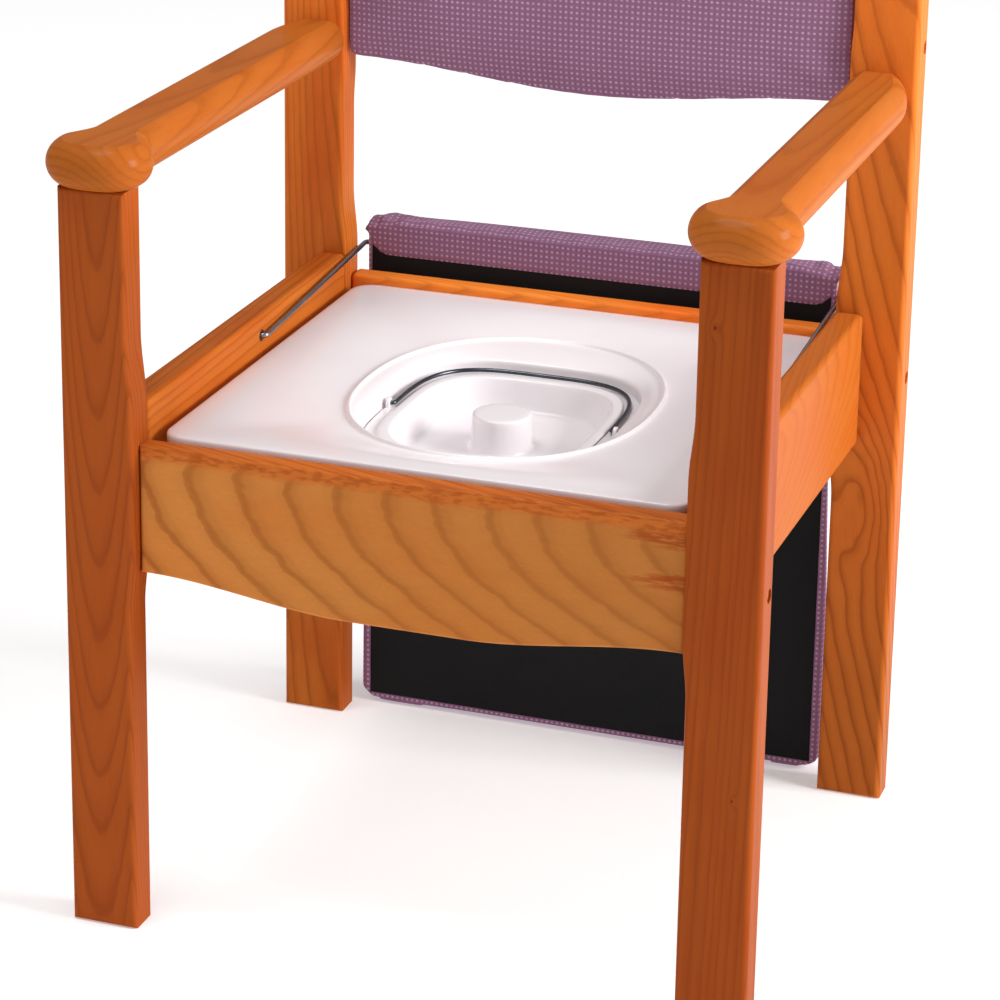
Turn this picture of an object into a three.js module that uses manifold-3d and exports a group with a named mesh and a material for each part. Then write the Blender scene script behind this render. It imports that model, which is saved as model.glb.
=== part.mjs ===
// Wooden commode armchair: pine frame, upholstered seat that folds over the
// back rail on two bent steel arms, moulded seat panel with pan, lid and bail.
// Millimetres, +Z up, front towards -Y. Origin on the floor under the middle
// of the whole chair. Inside this file Y is counted from the front face of the
// front legs, and the whole group is shifted at the end.
import * as THREE from "three";
import { RoundedBoxGeometry } from "three/addons/geometries/RoundedBoxGeometry.js";
import { mergeVertices } from "three/addons/utils/BufferGeometryUtils.js";
import Module from "manifold-3d";

const wasm = await Module();
wasm.setup();

// ---------------------------------------------------------------- dimensions
const GAP = 0.3;                 // gap left between neighbouring pieces
const LEG_OUT = 300;             // outer face of every leg, from the centre
const LEG_IN = 240;              // inner edge of the slim part of a leg
const LEG_SWELL = 236;           // inner edge where the leg swells at a joint
const LEG_T = 34;                // leg thickness, front to back
const LEG_PITCH = 482;           // front face of front leg to front face of rear leg
const LEG_R = 5;                 // leg arris radius
const FRONT_TOP = 658.7;         // top of front legs
const REAR_TOP = 884;            // top of rear legs
const ARM_Z0 = 659, ARM_Z1 = 697, ARM_R = 17;
const ARM_IN = 239, ARM_OUT = 300.6;
const PADDLE_HALF = 44.5, PADDLE_FRONT = -16, PADDLE_NECK = 60;
const SIDE_IN = 236, SIDE_OUT = 263, SIDE_Z0 = 350, SIDE_Z1 = 474;
const FRAIL_Y0 = 12, FRAIL_Y1 = 34, FRAIL_TOP = 440, FRAIL_END = 327.5, FRAIL_MID = 310.5;
const RRAIL_Y0 = 494, RRAIL_Y1 = 514, RRAIL_Z0 = 370, RRAIL_Z1 = 451;
const BATTEN_W = 18, BATTEN_Z0 = 408, BATTEN_Z1 = 434;
const PANEL_X = 228, PANEL_Y0 = 35.5, PANEL_Y1 = 493.5, PANEL_Z = 443.5, PANEL_R = 20;
const RING = { cy: 266.5, a: 131, b: 159.5, n: 2.25 };
const HOLE = { cy: 250, a: 108.5, b: 126.5, n: 3.4 };
const LEDGE_Z = 412;
const PAN_BOTTOM = 300;
const BAIL_R = 1.9, BAIL_Z = 418.6, BAIL_Y = 248;
const KNOB_R = 26.5, KNOB_Z = 422;
const P1 = { y: 276, z: 455.5 };   // swing arm pivot in the side rails
const P2 = { y: 525, z: 474 };     // swing arm pivot in the folded seat
const ROD_R = 2.5, ROD_X = 232.4, ROD_BEND = 4.5;
const SEAT_X = 227.8, SEAT_Y0 = 519, SEAT_T = 48, SEAT_Z0 = 6, SEAT_Z1 = 494;
const SEAT_R_FRONT = 27, SEAT_R_REAR = 14, SEAT_R_SIDE = 13;
const WRAP = 4, FRONT_WRAP = 29;   // cover turned under the base board
const BACK_X = 237.8, BACK_Y0 = 484, BACK_CROWN = 6, BACK_Y1 = 500, BACK_R = 16;
const BACK_Z0 = 647, BACK_Z0_SIDE = 16.5, BACK_Z1 = 868, BACK_ARCH = 18;
const SHIFT_Y = -275.5;

// ----------------------------------------------------------------- materials
const pine = (c) => new THREE.MeshStandardMaterial({ color: c, roughness: 0.42, metalness: 0 });
const M = {
  pine: pine(0xc46a28), pineDark: pine(0xb05a20),
  batten: new THREE.MeshStandardMaterial({ color: 0xc08a55, roughness: 0.7, metalness: 0 }),
  ply: new THREE.MeshStandardMaterial({ color: 0xb99465, roughness: 0.75, metalness: 0 }),
  fabric: new THREE.MeshStandardMaterial({ color: 0x8a5f86, roughness: 0.85, metalness: 0 }),
  black: new THREE.MeshStandardMaterial({ color: 0x151516, roughness: 0.9, metalness: 0 }),
  white: new THREE.MeshStandardMaterial({ color: 0xf0eaed, roughness: 0.25, metalness: 0 }),
  steel: new THREE.MeshStandardMaterial({ color: 0x9a9ba0, roughness: 0.25, metalness: 1 }),
  wire: new THREE.MeshStandardMaterial({ color: 0x4a4d50, roughness: 0.3, metalness: 1 }),
  screw: new THREE.MeshStandardMaterial({ color: 0x8c8c8c, roughness: 0.35, metalness: 1 }),
  nylon: new THREE.MeshStandardMaterial({ color: 0x3a3330, roughness: 0.5, metalness: 0 }),
};

// ------------------------------------------------------------------- helpers
const chair = new THREE.Group();
chair.position.y = SHIFT_Y;
const put = (name, geometry, material) => {
  const mesh = new THREE.Mesh(geometry, material);
  mesh.name = name;
  chair.add(mesh);
  return mesh;
};

function toSolid(geometry) {
  const g = geometry.clone();
  for (const k of Object.keys(g.attributes)) if (k !== "position") g.deleteAttribute(k);
  const m = mergeVertices(g, 1e-4);
  return new wasm.Manifold(new wasm.Mesh({
    numProp: 3,
    vertProperties: new Float32Array(m.attributes.position.array),
    triVerts: new Uint32Array(m.index.array),
  }));
}
function toGeometry(solid) {
  const m = solid.getMesh();
  const g = new THREE.BufferGeometry();
  g.setAttribute("position", new THREE.BufferAttribute(new Float32Array(m.vertProperties), 3));
  g.setIndex(new THREE.BufferAttribute(new Uint32Array(m.triVerts), 1));
  g.computeVertexNormals();
  return g;
}
const cut = (geometry, ...tools) => {
  let s = toSolid(geometry);
  for (const t of tools) s = s.subtract(toSolid(t));
  return toGeometry(s);
};
const join = (geometry, ...others) => {
  let s = toSolid(geometry);
  for (const t of others) s = s.add(toSolid(t));
  return toGeometry(s);
};

// box given by its two corners
const box = (x0, x1, y0, y1, z0, z1) =>
  new THREE.BoxGeometry(x1 - x0, y1 - y0, z1 - z0).translate((x0 + x1) / 2, (y0 + y1) / 2, (z0 + z1) / 2);
const softBox = (x0, x1, y0, y1, z0, z1, r, seg = 2) =>
  new RoundedBoxGeometry(x1 - x0, y1 - y0, z1 - z0, seg, r).translate((x0 + x1) / 2, (y0 + y1) / 2, (z0 + z1) / 2);
// cylinder lying along X
const rodX = (r, x0, x1, y, z, seg = 20) =>
  new THREE.CylinderGeometry(r, r, x1 - x0, seg).rotateZ(Math.PI / 2).translate((x0 + x1) / 2, y, z);

// outline in X and Z pushed through in Y, with every arris rounded
function slab(points, y0, y1, r, segments = 3) {
  const shape = new THREE.Shape(points.map((p) => new THREE.Vector2(p[0], p[1])));
  const g = new THREE.ExtrudeGeometry(shape, {
    depth: y1 - y0 - 2 * r, bevelEnabled: r > 0, bevelThickness: r, bevelSize: r,
    bevelOffset: -r, bevelSegments: segments, steps: 1, curveSegments: 4,
  });
  g.rotateX(Math.PI / 2);
  g.translate(0, y1 - r, 0);
  return g;
}

// skin over a stack of closed loops with the same number of points
function loft(loops, closed = false) {
  const n = loops[0].length, pos = [], idx = [];
  for (const l of loops) for (const p of l) pos.push(p.x, p.y, p.z);
  const m = loops.length, last = closed ? m : m - 1;
  for (let i = 0; i < last; i++) {
    const a = i * n, b = ((i + 1) % m) * n;
    for (let j = 0; j < n; j++) {
      const k = (j + 1) % n;
      idx.push(a + j, a + k, b + k, a + j, b + k, b + j);
    }
  }
  if (!closed) {
    for (const [i, flip] of [[0, true], [m - 1, false]]) {
      const c = new THREE.Vector3();
      for (const p of loops[i]) c.add(p);
      c.divideScalar(n);
      const ci = pos.length / 3;
      pos.push(c.x, c.y, c.z);
      for (let j = 0; j < n; j++) {
        const k = (j + 1) % n;
        if (flip) idx.push(ci, i * n + k, i * n + j);
        else idx.push(ci, i * n + j, i * n + k);
      }
    }
  }
  const g = new THREE.BufferGeometry();
  g.setAttribute("position", new THREE.Float32BufferAttribute(pos, 3));
  g.setIndex(idx);
  if (volume(g) < 0) {
    const ix = g.index.array;
    for (let i = 0; i < ix.length; i += 3) { const t = ix[i + 1]; ix[i + 1] = ix[i + 2]; ix[i + 2] = t; }
  }
  g.computeVertexNormals();
  return g;
}
function volume(g) {
  const p = g.attributes.position, ix = g.index.array;
  const a = new THREE.Vector3(), b = new THREE.Vector3(), c = new THREE.Vector3();
  let v = 0;
  for (let i = 0; i < ix.length; i += 3) {
    a.fromBufferAttribute(p, ix[i]); b.fromBufferAttribute(p, ix[i + 1]); c.fromBufferAttribute(p, ix[i + 2]);
    v += a.dot(b.cross(c)) / 6;
  }
  return v;
}
// distance from a centre to a superellipse in a given direction
const superR = (t, a, b, n) =>
  1 / Math.pow(Math.pow(Math.abs(Math.cos(t)) / a, n) + Math.pow(Math.abs(Math.sin(t)) / b, n), 1 / n);
const smooth = (t) => { const u = Math.min(1, Math.max(0, t)); return u * u * (3 - 2 * u); };

// --------------------------------------------------------------------- legs
// screws that hold the rails and the back board, each under a wood plug
const SCREWS = [
  { id: "front_rail", leg: "front", y: 22, z: 384 },
  { id: "rear_rail", leg: "rear", y: 504, z: 411 },
  { id: "back_lower", leg: "rear", y: 506.2, z: 717 },
  { id: "back_upper", leg: "rear", y: 506.2, z: 822 },
];
const PLUG_R = 6, PLUG_D = 6, SHANK_R = 2, SHANK_HOLE = 2.4, HEAD_R = 4.2, HEAD_H = 3, SCREW_L = 78;

function innerEdge(swells, zTop) {
  // list of [x, z] going up the inner edge, swelling where a rail joins
  const pts = [[LEG_IN, 0]];
  for (const [z0, z1, z2, z3, x] of swells) {
    for (let i = 0; i <= 4; i++) pts.push([LEG_IN + (x - LEG_IN) * smooth(i / 4), z0 + (z1 - z0) * i / 4]);
    for (let i = 0; i <= 4; i++) pts.push([x + (LEG_IN - x) * smooth(i / 4), z2 + (z3 - z2) * i / 4]);
  }
  pts.push([LEG_IN, zTop]);
  return pts;
}
function legOutline(side, swells, zTop, topR) {
  let pts = innerEdge(swells, zTop - topR);
  for (let i = 1; i <= 5; i++) {
    const t = (Math.PI / 2) * i / 5;
    if (topR) pts.push([LEG_IN + topR * (1 - Math.cos(t)), zTop - topR + topR * Math.sin(t)]);
  }
  if (topR) for (let i = 0; i < 5; i++) {
    const t = (Math.PI / 2) * i / 5;
    pts.push([LEG_OUT - topR * (1 - Math.sin(t)), zTop - topR + topR * Math.cos(t)]);
  }
  pts.push([LEG_OUT, zTop - topR], [LEG_OUT, 0]);
  pts = pts.map(([x, z]) => [side * x, z]);
  // outline runs counter-clockwise seen from the front
  return side > 0 ? pts.reverse() : pts;
}
for (const [side, word] of [[-1, "left"], [1, "right"]]) {
  for (const which of ["front", "rear"]) {
    const y0 = which === "front" ? 0 : LEG_PITCH;
    const swells = which === "front"
      ? [[292, 345, 478, 532, LEG_SWELL]]
      : [[292, 345, 478, 532, LEG_SWELL], [612, 652, 702, 742, LEG_IN - 1.6]];
    const outline = legOutline(side, swells, which === "front" ? FRONT_TOP : REAR_TOP, which === "front" ? 0 : 24);
    let g = slab(outline, y0, y0 + LEG_T, LEG_R, 2);
    const holes = [];
    for (const s of SCREWS.filter((q) => q.leg === which)) {
      const xo = side * (LEG_OUT + 1), xc = side * (LEG_OUT - PLUG_D - HEAD_H - 0.6), xi = side * (LEG_SWELL - 5);
      holes.push(rodX(PLUG_R, Math.min(xo, xc), Math.max(xo, xc), s.y, s.z, 20));
      holes.push(rodX(SHANK_HOLE, Math.min(xc, xi), Math.max(xc, xi), s.y, s.z, 12));
    }
    put(`${which}_leg_${word}`, cut(g, ...holes), M.pine);
  }
}

// ---------------------------------------------------------- screws and plugs
for (const s of SCREWS) for (const [side, word] of [[-1, "left"], [1, "right"]]) {
  const plug = rodX(PLUG_R - GAP, LEG_OUT - PLUG_D + 0.2, LEG_OUT, s.y, s.z, 20);
  const headTop = LEG_OUT - PLUG_D - 0.2;
  const head = rodX(HEAD_R, headTop - HEAD_H, headTop, s.y, s.z, 14);
  const shank = rodX(SHANK_R, headTop - SCREW_L, headTop - HEAD_H + 0.5, s.y, s.z, 12);
  const screw = join(head, shank);
  const flip = (g) => (side > 0 ? g : g.rotateZ(Math.PI).translate(0, 2 * s.y, 0));
  put(`plug_${s.id}_${word}`, flip(plug), M.pineDark);
  put(`screw_${s.id}_${word}`, flip(screw), M.screw);
}
const screwHole = (s, side) => {
  const a = side * (LEG_OUT - PLUG_D - SCREW_L - 1.5), b = side * (LEG_OUT);
  return rodX(SHANK_HOLE, Math.min(a, b), Math.max(a, b), s.y, s.z, 12);
};
const holesFor = (id) => SCREWS.filter((s) => id.includes(s.id)).flatMap((s) => [screwHole(s, -1), screwHole(s, 1)]);

// ---------------------------------------------------------------- armrests
function armOutline(side) {
  const c = (ARM_IN + ARM_OUT) / 2, w = (ARM_OUT - ARM_IN) / 2;
  const right = [];
  // half outline (distance from the arm's middle line, y), from the tip back
  const tipR = 40;
  for (let i = 0; i <= 9; i++) {
    const t = (Math.PI / 2) * i / 9;
    right.push([PADDLE_HALF * Math.pow(Math.sin(t), 0.78), PADDLE_FRONT + tipR * (1 - Math.pow(Math.cos(t), 0.9))]);
  }
  for (let i = 1; i <= 5; i++) {
    const t = i / 5;
    right.push([PADDLE_HALF + (w - PADDLE_HALF) * smooth(t), PADDLE_FRONT + tipR + (PADDLE_NECK - PADDLE_FRONT - tipR) * t]);
  }
  const pts = [];
  const end = LEG_PITCH + 30;
  for (const [d, y] of right) pts.push([c + d, y]);
  pts.push([c + w, LEG_PITCH - 52]);
  for (let i = 1; i <= 4; i++) pts.push([c + w - 11 * Math.pow(i / 4, 1.7), LEG_PITCH - 52 + 52 * i / 4]);
  pts.push([c + w - 16, end], [c - w, end]);
  for (const [d, y] of right.slice(1).reverse()) pts.push([c - d, y]);
  return pts.map(([x, y]) => [side * x, y]);
}
for (const [side, word] of [[-1, "left"], [1, "right"]]) {
  let pts = armOutline(side);
  if (side < 0) pts = pts.reverse();
  const shape = new THREE.Shape(pts.map((p) => new THREE.Vector2(p[0], p[1])));
  const g = new THREE.ExtrudeGeometry(shape, {
    depth: ARM_Z1 - ARM_Z0 - 2 * ARM_R, bevelEnabled: true, bevelThickness: ARM_R, bevelSize: ARM_R,
    bevelOffset: -ARM_R, bevelSegments: 4, steps: 1,
  });
  g.translate(0, 0, ARM_Z0 + ARM_R);
  put(`armrest_${word}`, cut(g, box(-400, 400, LEG_PITCH - GAP, LEG_PITCH + 80, 600, 750)), M.pine);
}

// -------------------------------------------------------------------- rails
for (const [side, word] of [[-1, "left"], [1, "right"]]) {
  const [xa, xb] = side > 0 ? [SIDE_IN, SIDE_OUT] : [-SIDE_OUT, -SIDE_IN];
  const rail = softBox(xa, xb, LEG_T + GAP, LEG_PITCH - GAP, SIDE_Z0, SIDE_Z1, 5, 2);
  const [ha, hb] = side > 0 ? [SIDE_IN - 1, SIDE_IN + 17] : [-SIDE_IN - 17, -SIDE_IN + 1];
  put(`side_rail_${word}`, cut(rail, rodX(5.6, ha, hb, P1.y, P1.z, 20)), M.pine);
  const [ba, bb] = side > 0 ? [SIDE_IN, SIDE_IN + 16.5] : [-SIDE_IN - 16.5, -SIDE_IN];
  put(`pivot_bush_${word}`, cut(rodX(5.3, ba, bb, P1.y, P1.z, 20), rodX(3.1, ba - 1, bb + 1, P1.y, P1.z, 16)), M.nylon);
  const [ta, tb] = side > 0 ? [SIDE_IN - GAP - BATTEN_W, SIDE_IN - GAP] : [-SIDE_IN + GAP, -SIDE_IN + GAP + BATTEN_W];
  put(`batten_${word}`, box(ta, tb, 70, 460, BATTEN_Z0, BATTEN_Z1), M.batten);
}
{
  const half = LEG_SWELL - GAP, pts = [];
  for (let i = 0; i <= 20; i++) {
    const x = -half + 2 * half * i / 20;
    pts.push([x, FRAIL_MID + (FRAIL_END - FRAIL_MID) * smooth((Math.abs(x) - 50) / 180)]);
  }
  pts.push([half, FRAIL_TOP], [-half, FRAIL_TOP]);
  put("front_rail", cut(slab(pts, FRAIL_Y0, FRAIL_Y1, 4, 2), ...holesFor(["front_rail"])), M.pine);
  put("rear_rail", cut(softBox(-half, half, RRAIL_Y0, RRAIL_Y1, RRAIL_Z0, RRAIL_Z1, 4, 2), ...holesFor(["rear_rail"])), M.pine);
}
put("batten_front", box(-200, 200, FRAIL_Y1 + GAP, FRAIL_Y1 + GAP + BATTEN_W, BATTEN_Z0, BATTEN_Z1), M.batten);
put("batten_rear", box(-200, 200, RRAIL_Y0 - GAP - BATTEN_W, RRAIL_Y0 - GAP, BATTEN_Z0, BATTEN_Z1), M.batten);
for (const [sx, wx] of [[-1, "left"], [1, "right"]]) for (const [sy, wy, y] of [[1, "front", FRAIL_Y1 + GAP], [-1, "rear", RRAIL_Y0 - GAP]]) {
  const x0 = sx * (LEG_SWELL - GAP), L = 58, k = 12;
  let p = [[x0, y], [x0 - sx * L, y], [x0 - sx * L, y + sy * k], [x0 - sx * k, y + sy * L], [x0, y + sy * L]];
  if (sx * sy > 0) p = p.reverse();
  const shape = new THREE.Shape(p.map((q) => new THREE.Vector2(q[0], q[1])));
  put(`corner_block_${wy}_${wx}`, new THREE.ExtrudeGeometry(shape, { depth: 28, bevelEnabled: false }).translate(0, 0, 376), M.batten);
}

// --------------------------------------------------------------- seat panel
{
  const cy = (PANEL_Y0 + PANEL_Y1) / 2, hx = PANEL_X, hy = (PANEL_Y1 - PANEL_Y0) / 2, outer = [];
  const sideN = 5, cornerN = 3;
  for (const [sx, sy] of [[1, 1], [-1, 1], [-1, -1], [1, -1]]) {
    const cxr = sx * (hx - PANEL_R), cyr = sy * (hy - PANEL_R);
    const a0 = Math.atan2(sy, sx) - Math.PI / 4;
    for (let i = 0; i <= cornerN; i++) {
      const t = a0 + (Math.PI / 2) * i / cornerN;
      outer.push([cxr + PANEL_R * Math.cos(t), cyr + PANEL_R * Math.sin(t)]);
    }
    // straight side to the next corner
    const e = outer[outer.length - 1];
    const next = { "1,1": [-(hx - PANEL_R), hy], "-1,1": [-hx, -(hy - PANEL_R)], "-1,-1": [hx - PANEL_R, -hy], "1,-1": [hx, hy - PANEL_R] }[`${sx},${sy}`];
    for (let i = 1; i <= sideN; i++) {
      const t = i / (sideN + 1);
      outer.push([e[0] + (next[0] - e[0]) * t, e[1] + (next[1] - e[1]) * t]);
    }
  }
  const loopAt = (f) => outer.map(([ox, oy]) => {
    const t = Math.atan2(oy, ox), ro = Math.hypot(ox, oy);
    const ring = superR(t, RING.a, RING.b, RING.n), hole = superR(t, HOLE.a, HOLE.b, HOLE.n);
    // ring and hole are centred a little apart from the panel
    const rx = ring * Math.cos(t), ry = ring * Math.sin(t) + (RING.cy - cy);
    const hx2 = hole * Math.cos(t), hy2 = hole * Math.sin(t) + (HOLE.cy - cy);
    return f({ ox, oy, ux: Math.cos(t), uy: Math.sin(t), ro, rx, ry, hx: hx2, hy: hy2, t });
  });
  const O = (inset, z) => loopAt((q) => new THREE.Vector3(q.ox * (1 - inset / hx), cy + q.oy * (1 - inset / hy), z));
  const R = (d, z) => loopAt((q) => new THREE.Vector3(q.rx + d * q.ux, cy + q.ry + d * q.uy, z));
  const H = (d, z) => loopAt((q) => new THREE.Vector3(q.hx + d * q.ux, cy + q.hy + d * q.uy, z));
  const mix = (A, B, w, z) => A.map((p, i) => new THREE.Vector3(p.x + (B[i].x - p.x) * w, p.y + (B[i].y - p.y) * w, z));
  const L = [];
  L.push(O(0, BATTEN_Z1 + GAP), O(0, PANEL_Z - 2), O(0.7, PANEL_Z - 0.6), O(2.2, PANEL_Z), O(14, PANEL_Z));
  const o14 = O(14, 0), r4 = R(4, 0);
  L.push(mix(o14, r4, 0.3, PANEL_Z - 2.2), mix(o14, r4, 0.6, PANEL_Z - 7), mix(o14, r4, 0.85, PANEL_Z - 11));
  L.push(R(4, PANEL_Z - 12.5), R(1.5, PANEL_Z - 10.4), R(-1.5, PANEL_Z - 10.4), R(-4, PANEL_Z - 12));
  L.push(mix(R(-4, 0), H(4, 0), 0.5, PANEL_Z - 14.5), H(4, PANEL_Z - 17.5), H(1, PANEL_Z - 19), H(0, PANEL_Z - 21));
  L.push(H(0, LEDGE_Z), H(-11.5, LEDGE_Z), H(-11.5, LEDGE_Z - 3.5), H(3.5, LEDGE_Z - 3.5), H(3.8, PANEL_Z - 22));
  L.push(mix(R(-4, 0), H(4, 0), 0.5, PANEL_Z - 18.5), R(0, PANEL_Z - 16.2), mix(o14, r4, 0.6, PANEL_Z - 10.8), mix(o14, r4, 0.25, PANEL_Z - 5.4));
  L.push(O(14, PANEL_Z - 3.6), O(4, PANEL_Z - 3.6), O(4, BATTEN_Z1 + GAP));
  put("seat_panel", loft(L, true), M.white);
}

// ---------------------------------------------------------- pan, lid, bail
const ring = (a, b, n, z, cy = HOLE.cy, N = 32) => Array.from({ length: N }, (_, i) => {
  const t = (2 * Math.PI * i) / N, r = superR(t, a, b, n);
  return new THREE.Vector3(r * Math.cos(t), cy + r * Math.sin(t), z);
});
{
  const n = 3.4, f = LEDGE_Z + GAP;
  let pan = loft([
    ring(20, 24, n, PAN_BOTTOM), ring(66, 82, n, PAN_BOTTOM), ring(71, 87, n, PAN_BOTTOM + 5), ring(94.5, 111.5, n, f - 6), ring(95.5, 112.5, n, f),
    ring(106, 124, n, f), ring(106.8, 124.8, n, f + 1.2), ring(106, 124, n, f + 2.6), ring(92, 109, n, f + 2.6),
    ring(91, 108, n, f), ring(68, 84, n, PAN_BOTTOM + 8), ring(63, 79, n, PAN_BOTTOM + 3.5), ring(20, 24, n, PAN_BOTTOM + 3),
  ]);
  const lugs = [], bores = [];
  for (const s of [-1, 1]) {
    const a = s * 101.8, b = s * 105.4;
    lugs.push(softBox(Math.min(a, b), Math.max(a, b), BAIL_Y - 5, BAIL_Y + 5, f + 1.5, BAIL_Z + 4.6, 1.2, 2));
    bores.push(rodX(BAIL_R + 0.35, Math.min(a, b) - 1, Math.max(a, b) + 1, BAIL_Y, BAIL_Z, 16));
  }
  pan = join(pan, ...lugs);
  put("pan", cut(pan, ...bores), M.white);

  const z = f + 2.6 + GAP;
  put("pan_lid", loft([
    ring(30, 36, n, z - 28.2), ring(76, 92, n, z - 28.2), ring(80, 96, n, z - 26), ring(87.5, 104, n, z - 1.5), ring(88.5, 105.5, n, z),
    ring(94.5, 112, n, z), ring(95, 112.5, n, z + 1.2), ring(94, 111.5, n, z + 2.4), ring(86, 102.5, n, z + 2.4), ring(84.5, 101, n, z + 1),
    ring(77, 93, n, z - 23), ring(73, 89, n, z - 25.4), ring(KNOB_R + 2.5, KNOB_R + 2.5, 2, z - 25.4), ring(KNOB_R, KNOB_R, 2, z - 23),
    ring(KNOB_R - 0.8, KNOB_R - 0.8, 2, KNOB_Z - 2.5), ring(KNOB_R - 3.2, KNOB_R - 3.2, 2, KNOB_Z), ring(10, 10, 2, KNOB_Z),
  ]), M.white);
}
// round bar along a path: rings of points carried along it
function bar(path, r, up, N = 10) {
  const loops = path.map((p, i) => {
    const a = path[Math.max(0, i - 1)], b = path[Math.min(path.length - 1, i + 1)];
    const t = b.clone().sub(a).normalize();
    const s = new THREE.Vector3().crossVectors(t, up).normalize();
    const u = new THREE.Vector3().crossVectors(s, t).normalize();
    return Array.from({ length: N }, (_, j) => {
      const q = (2 * Math.PI * j) / N;
      return p.clone().addScaledVector(s, r * Math.cos(q)).addScaledVector(u, r * Math.sin(q));
    });
  });
  return loft(loops);
}
{
  const path = [], rb = 3, xw = 99;
  for (const s of [1, -1]) {
    const leg = [new THREE.Vector3(s * 105.2, BAIL_Y, BAIL_Z)];
    for (let i = 0; i <= 5; i++) {
      const t = (Math.PI / 2) * i / 5;
      leg.push(new THREE.Vector3(s * (xw + rb - rb * Math.sin(t)), BAIL_Y + rb - rb * Math.cos(t), BAIL_Z));
    }
    if (s < 0) leg.reverse();
    if (s > 0) {
      path.push(...leg);
      const a = xw, b = 117.5, n = 3.6;
      for (let i = 2; i <= 22; i++) {
        const t = Math.PI * i / 24, r = superR(t, a, b, n);
        path.push(new THREE.Vector3(r * Math.cos(t), BAIL_Y + r * Math.sin(t), BAIL_Z));
      }
    } else path.push(...leg);
  }
  put("bail_handle", bar(path, BAIL_R, new THREE.Vector3(0, 0, 1), 8), M.wire);
}

// ---------------------------------------------------------------- swing arms
for (const [side, word] of [[-1, "left"], [1, "right"]]) {
  const d = new THREE.Vector3(0, P2.y - P1.y, P2.z - P1.z), L = d.length();
  d.normalize();
  const a = new THREE.Vector3(ROD_X, P1.y, P1.z), X = new THREE.Vector3(1, 0, 0), path = [];
  path.push(a.clone().addScaledVector(X, 19));
  for (let i = 0; i <= 5; i++) {
    const t = (Math.PI / 2) * i / 5;
    path.push(a.clone().addScaledVector(X, ROD_BEND * (1 - Math.sin(t))).addScaledVector(d, ROD_BEND * (1 - Math.cos(t))));
  }
  for (let i = 0; i <= 5; i++) {
    const t = (Math.PI / 2) * i / 5;
    path.push(a.clone().addScaledVector(d, L - ROD_BEND * (1 - Math.sin(t))).addScaledVector(X, -ROD_BEND * (1 - Math.cos(t))));
  }
  path.push(a.clone().addScaledVector(d, L).addScaledVector(X, -ROD_X + 205));
  if (side < 0) for (const p of path) p.x *= -1;
  put(`swing_arm_${word}`, bar(path, ROD_R, new THREE.Vector3(0, -d.z, d.y), 12), M.steel);
}

// ------------------------------------------------------------ folded seat
{
  const round = (x, r) => (x <= 0 ? 0 : r - Math.sqrt(Math.max(0, r * r - x * x)));
  const loopAt = (y, small = 0) => {
    const yt = SEAT_Y0 + SEAT_T;
    const fi = small + round(y - (yt - SEAT_R_FRONT), SEAT_R_FRONT);
    const ri = small + round(y - (yt - SEAT_R_REAR), SEAT_R_REAR);
    const si = small + round(y - (yt - SEAT_R_SIDE), SEAT_R_SIDE);
    const x = SEAT_X - si, z0 = SEAT_Z0 + ri, z1 = SEAT_Z1 - fi, r = 12, out = [];
    for (const [sx, sz] of [[1, 1], [-1, 1], [-1, -1], [1, -1]]) {
      const a0 = Math.atan2(sz, sx) - Math.PI / 4;
      for (let i = 0; i <= 4; i++) {
        const t = a0 + (Math.PI / 2) * i / 4;
        out.push(new THREE.Vector3(sx * (x - r) + r * Math.cos(t), y, (sz > 0 ? z1 - r : z0 + r) + r * Math.sin(t)));
      }
      for (let i = 1; i < 4; i++) {
        const nx = [sx * (x - r), sz > 0 ? z1 : z0], mx = [-sx * (x - r), sz > 0 ? z1 : z0];
        if (sx === sz) { const w = i / 4; out.push(new THREE.Vector3(nx[0] + (mx[0] - nx[0]) * w, y, nx[1])); }
        else { const w = i / 4, za = sz > 0 ? z1 - r : z0 + r, zb = sz > 0 ? z0 + r : z1 - r; out.push(new THREE.Vector3(sx * x, y, za + (zb - za) * w)); }
      }
    }
    return out;
  };
  const yt = SEAT_Y0 + SEAT_T, ys = [yt - SEAT_R_FRONT];
  for (const t of [0.3, 0.5, 0.7, 0.84, 0.93, 0.985]) ys.push(yt - SEAT_R_FRONT + SEAT_R_FRONT * t);
  const body = loft([loopAt(SEAT_Y0, 1.5), loopAt(SEAT_Y0 + 1.5), ...ys.map((y) => loopAt(y)), loopAt(yt - 0.01, 0)]);
  const bx = SEAT_X - WRAP, bz0 = SEAT_Z0 + WRAP, bz1 = SEAT_Z1 - WRAP;
  const pocket = box(-bx, bx, SEAT_Y0 + 1.4, SEAT_Y0 + 10.6, bz0, bz1);
  const window1 = box(-bx, bx, SEAT_Y0 - 5, SEAT_Y0 + 3, bz0, SEAT_Z1 - FRONT_WRAP);
  const pins = [rodX(ROD_R + 0.4, -260, -200, P2.y, P2.z, 16), rodX(ROD_R + 0.4, 200, 260, P2.y, P2.z, 16)];
  put("seat_cushion", cut(body, pocket, window1, ...pins), M.fabric);
  const board = box(-bx + GAP, bx - GAP, SEAT_Y0 + 1.7, SEAT_Y0 + 10.3, bz0 + GAP, bz1 - GAP);
  put("seat_base_board", cut(board, rodX(ROD_R + 0.4, -260, -203, P2.y, P2.z, 16), rodX(ROD_R + 0.4, 203, 260, P2.y, P2.z, 16)), M.ply);
  put("seat_under_cloth", box(-bx + GAP, bx - GAP, SEAT_Y0 + 0.4, SEAT_Y0 + 1.4, bz0 + GAP, SEAT_Z1 - FRONT_WRAP - GAP), M.black);
}

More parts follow.
